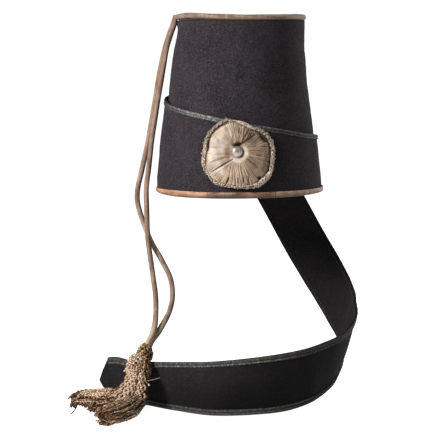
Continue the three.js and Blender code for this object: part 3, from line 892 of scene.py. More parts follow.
def binding():
    """The leather strip folded round the rim, pieced from skins of different browns."""
    outer = STANDOFF_RIM + CLOTH + GAP + LEATHER
    inner = -(FELT + GAP + LEATHER)
    top = BINDING_HEIGHT
    outline = [
        (outer - 0.3, 0.24), (outer, 1.2), (outer + 0.15, 2.6), (outer + 0.1, 4.2), (outer, 5.5),
        (outer - 0.25, top - 0.15), (outer - 0.65, top), (outer - LEATHER + 0.1, top - 0.2),
        (outer - LEATHER, 4), (outer - LEATHER, LEATHER), (inner + LEATHER, LEATHER), (inner + LEATHER, 4),
        (inner + LEATHER - 0.1, top - 0.2), (inner + 0.65, top), (inner + 0.25, top - 0.15), (inner, 5.5),
        (inner, 1.2), (inner + 0.3, 0.24), (inner + 1.2, 0), (0, 0), (outer - 1.2, 0),
    ]
    seams = (-22.5, 24, 54, 60, 66, 170)

    def relief(place, angle, z):
        face = np.where(z > 0.5, 1, 0.4)
        return face * (0.3 * ripple(place, 17, 31) + 0.16 * ripple(place, 5, 32)) * smooth(z, 0, 2) * 0.7

    def values(points, angle, z):
        x = points[..., 0]
        front = smooth(-points[..., 1], -5, 10)
        jog = 2.2 * ripple(points * [0, 0, 1], 7, 36)
        fade = 0.45 * smooth(x, -2, 4) + 0.55 * smooth(x, 36, 42)
        mauve = smooth(x + jog, -37.5, -36.5) * (1 - fade) * front
        light = bell(z, 5.9, 0.55) * (0.55 + 0.35 * ripple(points, 12, 33))
        # Painted shade: darker towards the lower edge, more at the front.
        under = (1 - smooth(z, 0.5, 4.6)) * 0.74
        crease = sum(bell(angle, seam, 0.45 / 1.7) for seam in seams) + under * (0.4 + 0.6 * front)
        return {"mauve": np.clip(mauve, 0, 1), "pale": smooth(x, 36, 44) * front,
                "edge": np.clip(light, 0, 0.9), "crease": np.clip(crease, 0, 1)}

    shape = closed_turn(outline, 900, relief, values)
    face_outwards(make("rim_leather", shape, LEATHER_FINISH, ["rim_binding"]))


crown()
crown_top()
top_cord()
binding()

# ---- The wing and its braid ------------------------------------------------------------------------------


def slab(point_at, widths, low, columns):
    """Loops of a cloth strip with soft edges: point_at gives a row of points for distances and heights."""
    inset = 0.55
    soft = np.array([0.7, 0.3])
    height = CLOTH * np.concatenate([np.ones(columns), soft, np.zeros(columns), soft[::-1]])
    rows = []
    for index, (width, base) in enumerate(zip(widths, low)):
        inside = inset + np.linspace(0, 1, columns) * (width - 2 * inset)
        reach = np.concatenate([inside, [width, width], inside[::-1], [0, 0]]) + base
        rows.append(point_at(index, reach, height))
    return np.stack(rows)


WING_STEPS = 320
wing_angles = np.linspace(WING_TOP["angle"][0], WING_TOP["angle"][-1], WING_STEPS + 1)


def wing():
    """The part of the wing that is wound round the cap."""
    low = WALL_BOTTOM + gone(WING_RISE, wing_angles)
    high = wing_top(wing_angles)
    loops = slab(lambda row, z, over: wing_point(wing_angles[row], z, over), high - low, low, 22)
    return face_outwards(make("wing_cloth_wrap", loft(loops), CLOTH_FINISH, ["wing_wrap"]))


def tail_painted_light(loops):
    """The painted light and shade on the tail's cloth at its points: lighter under its upper edge, dark in
    its turn.
    """
    row = np.minimum(np.arange(len(loops)), TAIL_STEPS)[:, None]
    z = loops[..., 2]
    low, high = (look_up(TAIL_PAINTED_LIGHT, edge, loops[..., 0]) for edge in ("low", "high"))
    rise = (z - tail_low[row, 2]) / (tail_high[row, 2] - tail_low[row, 2])
    front = low + (high - low) * smooth(rise, 0.2, 0.9)
    behind = look_up(TAIL_PAINTED_LIGHT_BEHIND, "tone", z)
    return behind + (front - behind) * smooth(row / TAIL_STEPS, 0.42, 0.55)


def tail():
    """The wing's free tail, down behind, round at the right and across the front to its point."""
    loops = slab(tail_point, tail_width, 0 * tail_width, 18)
    tip_low, tip_high = (np.array(p, float) for p in (TAIL_POINT_LOW, TAIL_POINT_HIGH))
    end = loops[-1]
    share = ((end - tail_low[-1]) @ tail_across[-1] / tail_width[-1])[:, None]
    over = ((end - tail_low[-1]) @ tail_normal[-1])[:, None]
    tip = tip_low + (tip_high - tip_low) * share + tail_normal[-1] * over
    for k in np.linspace(0, 1, 11)[1:]:
        loop = end + (tip - end) * k
        worn = 1 - 0.3 * smooth(k, 0.55, 1.3)
        loops = np.concatenate([loops, (loop.mean(0) + (loop - loop.mean(0)) * worn)[None]])
    shape = loft(loops, lit=tail_painted_light(loops))
    return face_outwards(make("wing_cloth_tail", shape, TAIL_SHADED_FINISH, ["wing_tail"]))


def stitches():
    """The rows of faint stitches inside both edges on the tail's reverse."""
    rows = np.arange(TAIL_STEPS + 1)
    paths = []
    for inset in (4.4 + 0 * tail_width, tail_width - 4.6):
        line = tail_point(rows, inset, 0 * inset - 0.05)
        run = np.concatenate([[0], step_lengths(line).cumsum()])
        for start in np.arange(3, run[-1] - 6, 4.6):
            place = start + np.linspace(0, 2.7, 6)
            paths.append(np.stack([np.interp(place, run, line[:, k]) for k in range(3)], -1))
    shape = ropes(Shape(), paths, 0.34, lobes=2)
    return make("wing_tail_stitches", shape, STITCH_FINISH)


# The braid's section: a narrow and a broad cord, at places across it and their heights.
RIB_PLACES = np.array([0, 0.3, 0.65, 1, 1.35, 1.7, 2.05, 2.4, 2.8, 3.3, 3.8, 4.3, 4.8, 5.2, 5.5])
RIB_HEIGHTS = np.array([0.3, 0.75, 1.1, 1.2, 1.1, 0.75, 0.35, 0.55, 0.95, 1.15, 1.25, 1.2, 1.1, 0.8, 0.3])
# How many times their plain width the tail's braids are: the upper one from left to right.
UPPER_BRAID_SPREAD = {"x": (-150, -125, -90, -30, 10, 50), "times": (1.5, 1.35, 1.12, 1.12, 1.28, 1.42)}
LOWER_BRAID_SPREAD = 1.28
BROAD_START = 2.05
NARROW_MIDDLE = 1
BROAD_MIDDLE = 3.8
STITCH_LENGTH = 2.6


def braid(name, point_at, spacing, material, wear, dull=0, flip=False):
    """A flat braid of a broad and a narrow cord. point_at takes rows, distances and heights."""
    rows = np.arange(len(spacing))[:, None]
    run = np.cumsum(spacing)[:, None]
    knit = np.abs(RIB_PLACES - np.where(RIB_PLACES > BROAD_START, BROAD_MIDDLE, NARROW_MIDDLE))
    stitch = 0.16 * np.sin(2 * math.pi * (run / STITCH_LENGTH + knit / 2.2))
    height = RIB_HEIGHTS + stitch * (RIB_HEIGHTS > 0.5)
    # groove: painted shade between the cords and in the stitches' dips; the braid's back is all shade.
    groove = np.clip(np.clip(1 - (RIB_HEIGHTS - 0.3) / 0.7, 0, 1) + 0.35 * (stitch < -0.05), 0, 1)
    places = BRAID_WIDTH - RIB_PLACES if flip else RIB_PLACES
    top = point_at(rows, places, CLOTH + GAP + height)
    back = point_at(rows, places[::-1], CLOTH + 0.05)
    loops = np.concatenate([top, back], 1)
    broad = smooth(np.concatenate([RIB_PLACES, RIB_PLACES[::-1]]), 1.4, 2.6)
    shape = loft(loops, groove=np.concatenate([groove, np.ones_like(groove)], 1),
                 wear=wear(loops) * (1 - dull * broad))
    return face_outwards(make("wing_braid_" + name, shape, material, ["braid_" + name]))


def braids():
    """The braid on the wing's upper edge, and those on both edges of its tail."""
    angles = np.linspace(WING_TOP["angle"][0], WING_TOP["angle"][-1], 1000)
    spacing = np.full(len(angles), 1.64 * (angles[1] - angles[0]))
    top = wing_top(angles)

    def on_wing(row, place, height):
        return wing_point(angles[row], top[row] - BRAID_WIDTH + place, height)

    # Wear and painted light: dark at the shadowed far left and behind, darker to the right, paler at the
    # right edge.
    def wing_wear(points):
        x = points[..., 0]
        worn = 0.95 - 0.62 * smooth(x, -30, 25) + 0.5 * smooth(x, 45, 85)
        return smooth(x, -96, -52) * worn * smooth(-points[..., 1], -20, 10)

    wrap = braid("wrap", on_wing, spacing, BRAID_FINISH, wing_wear)
    length = np.linalg.norm(np.gradient((tail_low + tail_high) / 2, axis=0), axis=1)

    def on_low(row, place, height):
        return tail_point(row, LOWER_BRAID_SPREAD * place, height)

    spread = look_up(UPPER_BRAID_SPREAD, "times", tail_high[:, 0])

    def on_high(row, place, height):
        return tail_point(row, tail_width[row] - (BRAID_WIDTH - place) * spread[row], height)

    # Wear, with painted shade at the front towards the right and round the turn; duller at the far left.
    def tail_wear(points):
        x = points[..., 0]
        return 0.95 - 0.55 * smooth(x, 5, 60) - 0.35 * smooth(x, 85, 118) - 0.4 * smooth(-x, 120, 140)

    def low_wear(points):
        return 0.35 * tail_wear(points)

    upper = braid("tail_upper", on_high, length, TAIL_BRAID_FINISH, tail_wear, dull=0.62)
    lower = braid("tail_lower", on_low, length, TAIL_BRAID_FINISH, low_wear, dull=0.4, flip=True)
    return wrap, upper, lower


wrap_cloth = wing()
tail_cloth = tail()
braid_wrap, braid_upper, braid_lower = braids()
tail_stitches = stitches()

# ---- Cockade ---------------------------------------------------------------------------------------------


def on_front(flat):
    """Takes points made flat, facing +Z, to the front of the wing, bent a little round the cap."""
    x0, z0 = COCKADE_CENTRE
    foot, head = (on_cap(0, z, wing_out(0, z) + CLOTH) for z in (z0 - 20, z0 + 20))
    up = unit(head - foot)
    right = np.array([1, 0, 0])
    out = np.cross(right, up)
    centre = (foot + head) / 2
    centre[0] = x0
    lift = flat[..., 2] - flat[..., 0] ** 2 / (2 * COCKADE_BEND)
    return centre + right * flat[..., :1] + up * flat[..., 1:2] + out * lift[..., None]


# The cockade round its button, anticlockwise from the right: the outline's reach, the rosette's own reach,
# the pleats' spacing in degrees and their depth, how far the puff swells, how pale the ribbon is, how open
# the gap round the rosette is, and how pale and how rough the frill is.
COCKADE = {
    "angle": (0, 20, 34, 45, 61, 75, 94, 106, 130, 142, 156, 171, 194, 206, 219, 232, 252, 273, 290, 302,
              314, 330, 343, 360),
    "reach": (43, 42.8, 40.6, 38, 33.8, 34.6, 36, 40.8, 40.2, 40.8, 40.9, 39.8, 43, 44.3, 44, 45, 42, 41,
              44, 47, 47.4, 46, 43.4, 43),
    "rosette": (37, 37, 35.5, 33, 30, 31, 34, 36.5, 36, 36.4, 35.4, 34, 37.5, 40.2, 41.6, 41.4, 38.6,
                37.8, 39.4, 39.8, 39.6, 39.6, 38, 37),
    "spacing": (7, 7, 5, 4, 4.5, 7, 11, 15, 22, 22, 17, 12, 12, 14, 13, 10, 8, 7, 7.5, 9, 15, 15, 8, 7),
    "pleat": (1.1, 1.1, 1.2, 1.4, 1.4, 0.9, 0.5, 0.35, 0.35, 0.35, 0.5, 0.7, 0.6, 0.4, 0.4, 0.6, 0.9, 1.1,
              1, 0.8, 0.45, 0.5, 0.9, 1.1),
    "puff": (8.6, 8.2, 7.2, 6.4, 6.2, 6.8, 8.6, 10, 11, 11.2, 11, 10.2, 9.6, 9, 8.4, 8.2, 8.2, 8.4, 8.6,
             8.8, 8.8, 8.8, 8.7, 8.6),
    "tone": (0.55, 0.52, 0.42, 0.32, 0.38, 0.54, 0.74, 0.82, 0.9, 1, 1, 0.96, 0.84, 0.84, 0.84, 0.78,
             0.74, 0.7, 0.6, 0.46, 0.36, 0.38, 0.48, 0.55),
    "gap": (1, 1, 1, 0.9, 0.5, 0.2, 0.2, 0.6, 1, 1, 0.9, 0.9, 0.5, 0.1, 0, 0, 0.05, 0.1, 0.2, 0.4, 0.6,
            0.8, 1, 1),
    "edge": (0.45, 0.4, 0.35, 0.35, 0.6, 0.76, 0.8, 0.8, 0.74, 0.7, 0.72, 0.78, 0.82, 0.8, 0.76, 0.78,
             0.84, 0.84, 0.85, 0.9, 0.86, 0.66, 0.5, 0.45),
    "rough": (0.9, 1, 1.1, 1.1, 0.7, 0.5, 0.6, 1, 0.9, 0.8, 0.8, 0.8, 0.8, 0.8, 0.9, 1, 1, 1, 0.9, 0.7,
              0.6, 0.8, 0.9, 0.9),
}


def cockade_value(name, angle):
    """A column of the cockade's table at angles in degrees."""
    return look_up(COCKADE, name, np.mod(angle, 360))


def cockade_columns(names, turns):
    """Columns of the cockade's table, each standing upright to go with values across the ribbon."""
    return [cockade_value(name, turns)[:, None] for name in names]


def both_faces(values):
    """A ribbon's values for its front and then, backwards, for its back."""
    return np.concatenate([values, values[:, ::-1]], 1)


def pleats(angle):
    """How high and how pale the ribbon's folds are at angles: round crests between narrow valleys."""
    random = np.random.default_rng(29)
    starts = [0.0]
    while starts[-1] < 360:
        starts.append(starts[-1] + cockade_value("spacing", starts[-1]) * random.uniform(0.6, 1.45))
    starts = np.array(starts) * (360 / starts[-1])
    lean = random.uniform(0.6, 1.7, len(starts))
    size = random.uniform(0.55, 1.15, len(starts))
    pale = random.uniform(-1, 1, len(starts))
    turn = np.mod(angle, 360)
    index = np.clip(np.searchsorted(starts, turn, side="right") - 1, 0, len(starts) - 2)
    share = (turn - starts[index]) / (starts[index + 1] - starts[index])
    crest = np.sin(math.pi * share ** lean[index]) ** 0.55
    return crest * size[index], pale[index] * crest


def groove_along(points, start, end, width):
    """How close points lie to a straight slit, 0 to 1."""
    start, end = np.array(start, float), np.array(end, float)
    way = end - start
    share = np.clip((points - start) @ way / (way @ way), 0, 1)
    away = np.linalg.norm(points - start - share[..., None] * way, axis=-1)
    taper = 0.35 + 0.65 * np.sin(math.pi * np.clip(share, 0.05, 0.95))
    return bell(away, 0, width * taper)


# The cockade's slits and folds: start, end, width, depth, and how much painted shade each takes.
SLITS = (
    ((-5.4, -7.7), (-28.4, -21.2), 0.8, 2, 0.9),
    ((-3.8, 8.4), (3.8, 9.8), 2.6, 2.6, 1),
    ((3.6, 9.2), (20.6, 20.6), 2.3, 2.6, 0.62),
    ((23.5, -29), (27, -31), 1.9, 4.5, 1),
    ((-10.2, 33.6), (-24, 28.6), 0.9, 2.5, 0.9),
    ((-24, 28.6), (-33, 19.5), 0.9, 2.2, 0.8),
    ((-33.6, 16), (-34, 2), 0.9, 2.2, 0.8),
    ((-10.5, -29), (-13.5, -36), 1, 2.8, 1),
    ((0.5, -29), (0, -36), 0.7, 1.6, 0.4),
    ((10.6, -28), (14, -35), 0.8, 2.2, 0.8),
    ((-12.5, -37.4), (-10.5, -37.6), 1.2, 1.6, 0.9),
    ((11, -37), (13.5, -36.6), 1.2, 1.6, 0.9),
    ((-19, -31), (-21.5, -34.5), 0.8, 1.6, 0.6),
    ((5.4, -28), (6.4, -35), 0.7, 1.8, 0.7),
    ((2.8, 28.5), (1.8, 21.5), 0.9, 1.8, 0.7),
    ((26.5, 19), (34.5, 11.5), 1.8, 3.4, 1),
    ((-4.4, 9), (-4.8, 19), 1.6, 0.9, 0.3),
    ((-8.6, -2.6), (-31, -3.2), 1.4, 0.8, 0.22),
    ((-9, 3.4), (-27, 5), 2.2, 0.8, 0.12),
    ((-9, -5.6), (-32, -11.5), 1.3, 0.8, 0.22),
    ((-8.4, 8), (-22, 13), 2.2, 0.7, 0.1),
    ((12.6, 6.2), (34.5, 6.4), 1, 1.1, 0.34),
    ((13.3, 2), (34, 1), 0.9, 1, 0.3),
    ((15, -0.8), (34, -2.4), 0.9, 1, 0.3),
    ((22.5, -3.4), (28.5, -4.4), 1.4, 1.2, 0.5),
    ((13.3, -5.3), (35.5, -11), 0.8, 1.2, 0.45),
    ((10.8, -8), (24, -18), 0.8, 1.4, 0.7),
    ((3.6, -13), (5, -27), 0.8, 1, 0.4),
    ((12.5, 21.5), (27.5, 21), 1, 1.6, 0.6),
    ((3.5, 20.5), (5.5, 27.5), 0.9, 1.4, 0.5),
    ((5, 12), (13, 25), 1, 1.4, 0.5),
    ((9, 12.6), (19, 23.6), 0.9, 1.4, 0.5),
)
# Brown stains on the ribbon, and painted shade where it dips to the button's left: middle, radius, how
# strong.
STAINS_AND_SHADE = (
    (-25, 21, 4.2, 0.3), (-13, 27, 3, 0.26), (-26, -26, 3.4, 0.25), (18, -17, 7, 0.12), (22, 12, 6, 0.1),
    (-11, 1.5, 5, 0.4), (-11, 9, 3.6, 0.22), (-12, -6, 4, 0.3), (25, -3, 4, 0.2),
)


def cockade_disc():
    """The gathered ribbon: a swelling rosette of pleats drawn in under the button."""
    turns = np.linspace(0, 360, 800, endpoint=False)
    shares = np.concatenate([np.linspace(0.03, 0.3, 14), np.linspace(0.3, 1, 45)[1:]])
    reach, gap, puff, depth, tone = cockade_columns(("rosette", "gap", "puff", "pleat", "tone"), turns)
    angle = turns[:, None] + 0 * shares
    r = shares * reach
    spot = polar(r, np.radians(angle), 0)
    flat = spot[..., :2]
    x, y = flat[..., 0], flat[..., 1]
    waver = 3 * ripple(spot, 34, 12) + 0.6 * ripple(spot, 12, 13)
    fold, pale = pleats(angle + waver * smooth(shares, 0.05, 0.6))
    thread = ripple(np.stack([angle * 1.7, shares * 2.4 + 0 * angle, 0 * angle], -1), 2.6, 9)
    slit = np.zeros_like(r)
    cut = np.zeros_like(r)
    unsteady = flat + 0.3 * ripple(spot, 9, 16)[..., None]
    for start, end, width, drop, dark in SLITS:
        near = groove_along(unsteady, start, end, width)
        cut = np.maximum(cut, near * drop)
        slit = np.maximum(slit, near * dark)
    lip = groove_along(flat, (-6.5, -10.6), (-27.4, -24.4), 1.1)
    # cup: the hollow above the button, sunk and darkened with painted shade.
    cup = np.exp(-((x + 0.4) ** 2 / 20 + (y - 8.2 - 0.12 * x) ** 2 / 3.6))

    rise = np.sin(math.pi * (0.01 + 0.74 * shares)) ** 0.9
    fall = 1 - smooth(shares, 0.8, 1.05) * (0.05 + 0.45 * gap)
    grown = smooth(shares, 0.1, 0.62)
    height = COCKADE_BACK + 2.2 + (puff - 3.4) * rise * fall - cut + 0.7 * lip - 2.4 * cup
    height += grown * ((fold - 0.7) * depth + 0.12 * thread + 0.55 * ripple(spot, 17, 14))

    # Painted shade: deep darkens the gap round the rosette, the pleats' valleys, the slits, the hollow
    # above the button and the button's cast shadow on its right.
    edge = smooth(shares, 0.935, 0.99) * gap
    valley = np.clip((0.42 - fold) / 0.42, 0, 1) * np.clip(depth, 0, 1)
    valley = valley * (0.25 + 0.75 * smooth(shares, 0.6, 0.97))
    shade = bell(r, 6.6, 0.9) * smooth(x - 0.3 * y, 0, 5)
    deep = np.clip(slit**1.6 * 1.1 + 0.95 * cup**1.3 + 0.75 * valley**1.4 + 0.95 * edge + shade, 0, 1)
    tone = tone + 0.11 * ripple(spot, 13, 15) + 0.11 * pale
    # Painted shade: the valleys are darker in tone too.
    tone += 0.07 * thread * grown + 0.3 * lip - 0.25 * valley
    for middle_x, middle_y, size, strength in STAINS_AND_SHADE:
        tone -= strength * bell(x, middle_x, size) * bell(y, middle_y, size)
    # Painted highlight: a pale ring round the button's lower right, where its hollow faces the light.
    collar_highlight = bell(r, 9.8, 2) * smooth(x - y, -9, 4)
    tone = np.clip(tone + 0.55 * collar_highlight, 0, 1)

    top = np.concatenate([flat, height[..., None]], -1)
    back = (spot[:, ::-1] + np.array([0, 0, COCKADE_BACK]))[:, ::6]
    loops = np.concatenate([top, back], 1)
    # The back is painted dark, as shade.
    behind = np.ones(back.shape[:2])
    shape = Shape().add(on_front(loops), turned_faces(*loops.shape[:2]),
                        tone=np.concatenate([tone, 0.2 * behind], 1),
                        deep=np.concatenate([deep, 0.6 * behind], 1))
    face_outwards(make("cockade_ribbon", shape, RIBBON_FINISH, ["cockade_disc"]))


def cockade_frill():
    """The crinkled edge: a ruffled strip of ribbon."""
    turns = np.linspace(0, 360, 1100, endpoint=False)
    outer, inner, gap, rough, edge = cockade_columns(("reach", "rosette", "gap", "rough", "edge"), turns)
    outer, inner = outer - 0.5, inner + 0.2
    across = np.linspace(0, 1, 10)
    arch = np.sin(across * math.pi) ** 0.6
    angle = np.radians(turns)[:, None]
    ring = polar(COCKADE_REACH, angle, 7 * across)
    crease = ripple(ring, 9, 42)
    fold = np.sin(angle * 76 + 2.4 * ripple(ring, 14, 43) + 1.3 * across)
    crimp = np.clip(0.5 * fold + 0.6 * ripple(ring, 4, 41), -1.2, 1.2) * rough
    r = inner + (outer - inner) * (across + 0.1 * crease * arch) + (0.4 * crimp + 0.5 * crease) * across
    height = COCKADE_BACK + 0.7 + 3.8 * arch * (0.6 + 0.4 * gap) + 4.4 * (1 - gap) * (1 - across)
    height = height + 1.2 * crimp * arch + 0.9 * crease * across
    top = polar(r, angle, np.maximum(height, COCKADE_BACK + 0.2))
    loops = np.concatenate([top, top[:, ::-1] - np.array([0, 0, 0.5])], 1)
    # Painted light on the crimps' crests, and painted shade in their hollows and at the root in the gap.
    tone = np.clip(edge + 0.3 * crimp + 0.12 * crease, 0, 1)
    deep = np.clip(np.maximum(1 - across * 5, 0) * gap + 0.85 * smooth(-crimp, 0.25, 1), 0, 1)
    shape = Shape().add(on_front(loops), grid_faces(*loops.shape[:2], True, True), tone=both_faces(tone),
                        deep=both_faces(deep))
    make("cockade_frill_strip", shape, RIBBON_FINISH, ["cockade_frill"])


def cockade_threads():
    """The metal threads that overrun the crinkled edge: four that loop round it, and frayed ends."""
    random = np.random.default_rng(23)
    threads = Shape()
    turns = np.linspace(0, 360, 950)
    angle = np.radians(turns)
    outer, inner, rough = (cockade_value(name, turns) for name in ("reach", "rosette", "rough"))
    room = outer - inner
    for index in range(4):
        spot = polar(COCKADE_REACH, angle, 9 * index)
        swing = angle * random.integers(30, 52) + 2.6 * ripple(spot, 15, 50 + index) + random.uniform(0, 6)
        middle = outer - room * random.uniform(0.2, 0.45)
        swell = (0.26 + 0.12 * ripple(spot, 9, 70 + index)) * (0.35 + 0.65 * rough)
        height = COCKADE_BACK + 4.2 + 1.4 * np.sin(swing) + 0.8 * ripple(spot, 6, 90 + index)
        path = polar(middle + room * swell * np.cos(swing), angle, np.maximum(height, COCKADE_BACK + 0.5))
        ropes(threads, [on_front(path)], 0.38 + 0.14 * random.random(), sides=5, depth=0.25, pitch=3.2,
              tone=random.uniform(0.75, 1))
    ends = []
    tones = []
    steps = np.linspace(0, 1, 9)
    for index in range(110):
        turn = random.uniform(0, 360)
        reach = cockade_value("reach", turn) - random.uniform(0.8, 3.6)
        length = random.uniform(1.5, 3.2)
        base = np.radians(turn)
        away = polar(1, base + random.normal() * 1.1, 0)
        side = np.cross((0, 0, 1), away)
        bow = random.normal() * 1.6
        line = polar(reach, base, 0) + away * (steps * length)[:, None] + side * (bow * steps**2)[:, None]
        height = COCKADE_BACK + random.uniform(1.5, 5.5) + random.normal() * 1.2 * steps
        line[:, 2] = np.maximum(height, COCKADE_BACK)
        ends.append(on_front(line))
        tones.append(random.uniform(0.6, 1))
    ends.append(on_front(curve(((-9.5, 35, 5), (-11.8, 38.6, 5), (-13.2, 41, 5)), steps)))
    tones.append(0.9)
    ropes(threads, ends, np.linspace(0.42, 0.28, 9)[None], sides=5, lobes=2, depth=0.2, pitch=2, tone=tones)
    make("cockade_threads", threads, RIBBON_FINISH)


def cockade_patch():
    """A scrap of paler ribbon worn through at the upper edge."""
    along = np.linspace(0, 1, 22)[:, None]
    across = np.linspace(0, 1, 7)
    start, end = np.array([-5, 37.4]), np.array([17.4, 30.0])
    line = start + (end - start) * along + np.array([0.6, 1.6]) * np.sin(along * math.pi)
    drop = unit(np.array([-0.35, -1]))
    width = 1 + 2.6 * smooth(along, 0.1, 0.4) * (1 - smooth(along, 0.93, 1.02))
    flat = line[:, None] + drop * (width * across)[..., None]
    height = COCKADE_BACK + 4.6 + np.sin(across * math.pi) + 0.3 * np.sin(along * 17)
    top = np.concatenate([flat, height[..., None]], -1)
    loops = np.concatenate([top, top[:, ::-1] - np.array([0, 0, 0.6])], 1)
    shape = loft(on_front(loops), tone=1, deep=0)
    face_outwards(make("cockade_worn_patch", shape, RIBBON_FINISH))


def cockade_button():
    """The domed metal button on its rolled edge."""
    foot = COCKADE_BACK + 3.4 + GAP
    middle = 0.02
    rise = np.linspace(0, math.pi / 2, 22)
    dome = [(BUTTON_RADIUS * math.cos(a), foot + 0.9 + 3.5 * math.sin(a)) for a in rise]
    outline = [(middle, foot), (BUTTON_RADIUS - 0.4, foot), (BUTTON_RADIUS, foot + 0.4), *dome]
    outline[-1] = (middle, dome[-1][1])
    r, height = np.array(outline).T
    turn = np.linspace(0, 2 * math.pi, 64, endpoint=False)[:, None]
    flat = polar(r, turn, height) + np.array([-0.7, 0.8, 0])
    flat[..., 2] += 0.06 * ripple(flat, 4, 61)
    shape = Shape().add(on_front(flat), turned_faces(*flat.shape[:2]))
    face_outwards(make("cockade_button_dome", shape, PEWTER_FINISH, ["cockade_button"]))


cockade_disc()
cockade_frill()
cockade_threads()
cockade_patch()
cockade_button()

# ---- Tassel ----------------------------------------------------------------------------------------------

FLOOR_LEVEL = cad_box[0][2] / MM
CRIMP_LENGTH = 7
BEAD_RADIUS = 1.25


def shade_core(shape, rings, share, steps=14, sides=20):
    """A body inside a tassel part, painted dark as the shade that shows between its strands."""
    along = np.linspace(0.02, 0.98, steps)[:, None]
    turn = np.linspace(0, 2 * math.pi, sides, endpoint=False)
    ends = np.sin(np.clip(along * (1 - along) * 12, 0, 1) * math.pi / 2)
    points = body_point(rings, along, turn, share * ends)
    return shape.add(points, tube_faces(steps, sides), groove=1, deep=1, tone=0)


def netted(shape, rings, turns, count, tone):
    """Twisted strands that run round a body both ways, that many each way, and pass over and under."""
    along = np.linspace(0, 1, 110)
    random = np.random.default_rng(count)
    paths = []
    for hand in (1, -1):
        for index in range(count):
            turn = 2 * math.pi * ((index + 0.3 * random.random()) / count + hand * turns * along)
            over = 0.96 + 0.07 * hand * np.sin(turn * count)
            paths.append(body_point(rings, along, turn + 0.06 * np.sin(along * 31 + index), over))
    tones = tone + random.uniform(-0.4, 0.4, len(paths))
    # Painted shade: strands on the right of the part are darker.
    tones = tones[:, None] + 0.15 - 0.6 * smooth(np.array(paths)[..., 0], -117, -105)
    ropes(shape, paths, 1.05, sides=7, depth=0.3, pitch=3.4, tone=np.clip(tones, 0, 1),
          phase=random.uniform(0, 6, len(paths)))


def tassel_piece(name, shape, node):
    """A piece of the tassel, of old silver-gilt thread."""
    return make("tassel_" + name, shape, BULLION_FINISH, ["tassel_" + node])


def knot_and_head():
    """The worked knot and head of the tassel, covered with a net of twisted threads."""
    knot = shade_core(Shape(), KNOT, 0.84)
    netted(knot, KNOT, 0.34, 10, 0.66)
    head = shade_core(Shape(), HEAD, 0.84)
    netted(head, HEAD, 0.42, 14, 0.7)
    strands(head, HEAD, 7, 97, ((0.6, 0.8), (0.97, 1)), (1, 1.06), 1, 0.95, wave=0.4, turns=(1.7, 3))
    return tassel_piece("knot_net", knot, "knot"), tassel_piece("head_net", head, "head")


def strands(shape, rings, count, seed, span, shares, radius, tone, wave=0.12, crimp=0.3, curl=0,
            turns=(0, 6.28), pitch=3.4, vary=0.24):
    """Twisted threads along a tassel part: wavy and knobbly, uneven in tone, darker on the right with
    painted shade, their ends dark and curled.
    """
    random = np.random.default_rng(seed)
    go = np.linspace(0, 1, 72)
    late = smooth(go, 0.72, 1)
    uneven = min(0.24, crimp)

    def wander(low, high):
        return np.sin(go * random.uniform(low, high) + random.uniform(0, 6))

    paths = []
    tones = []
    sizes = []
    for _ in range(count):
        along = random.uniform(*span[0]) + (random.uniform(*span[1]) - random.uniform(*span[0])) * go
        sway = wander(3, 9)
        share = random.uniform(*shares) + 0.04 * wander(6, 18)
        path = body_point(rings, along, random.uniform(*turns) + wave * random.normal() * sway, share)
        run = run_along(path)
        spin = run * 2 * math.pi / (CRIMP_LENGTH * random.uniform(0.75, 1.3)) + 1.2 * sway
        spin += random.uniform(0, 6)
        size = crimp * random.uniform(0.5, 1.3) + curl * random.uniform(0.3, 1.2) * late
        path += np.stack([np.cos(spin), np.sin(spin * 0.8), np.sin(spin)], -1) * size[:, None]
        path[:, 2] = np.maximum(path[:, 2], FLOOR_LEVEL + radius)
        paths.append(path)
        slub = uneven * np.sin(run * 2 * math.pi / random.uniform(3.6, 5.4) + 2 * sway)
        sizes.append(radius * random.uniform(0.8, 1.15) * (1 + slub) * (1 - 0.4 * smooth(go, 0.88, 1)))
        # Painted shade on the tassel's right; the curled ends are darker too.
        darker = 0.45 * smooth(path[:, 0], -118, -106) + 0.25 * curl * late
        tones.append(tone + 0.16 * wander(4, 14) + vary * random.normal() - darker)
    ropes(shape, paths, sizes, sides=6 if radius > 0.8 else 5, depth=0.35, pitch=pitch,
          tone=np.clip(tones, 0, 1), phase=random.uniform(0, 6, count))


def hooks(shape, rings, count, seed, span, turns, way, reach, tone, radius):
    """Short dark ends of thread that start on a tassel part and curl over."""
    random = np.random.default_rng(seed)
    go = np.linspace(0, 1, 18)
    way = unit(np.array(way, float))
    paths = []
    for _ in range(count):
        start = body_point(rings, np.array([random.uniform(*span)]), random.uniform(*turns), 0.8)[0]
        bend = random.uniform(1.2, 3.6) * (1 if random.random() < 0.7 else -1)
        lean = unit(way + random.normal(size=3) * 0.3)
        fall = unit(np.cross(lean, [random.normal() * 0.5, 1, random.normal() * 0.3]))
        out = np.sin(bend * go) / abs(bend)
        over = (1 - np.cos(bend * go)) / bend
        path = start + (lean * out[:, None] + fall * over[:, None]) * reach * random.uniform(0.6, 1.3)
        path[:, 2] = np.maximum(path[:, 2], FLOOR_LEVEL + 0.6)
        paths.append(path)
    tones = np.clip(tone + random.uniform(-0.1, 0.2, count), 0, 1)
    ropes(shape, paths, radius * random.uniform(0.75, 1.2, (count, 1)), depth=0.3, pitch=2.8, tone=tones)


def bead(shape, middle):
    """A small round sequin of the tassel's trimming."""
    turn = np.linspace(0, 2 * math.pi, 16, endpoint=False)
    rise = np.linspace(-math.pi / 2, math.pi / 2, 11)[1:-1, None]
    ball = polar(np.cos(rise), turn, np.sin(rise)) * BEAD_RADIUS
    shape.add(ball + middle, tube_faces(*ball.shape[:2]), groove=0, deep=0, tone=1)


def loose(shape, radius, tone, *points):
    """One loose thread through points."""
    ropes(shape, [curve(points, np.linspace(0, 1, 30))], radius, depth=0.2, pitch=2.4, tone=tone)


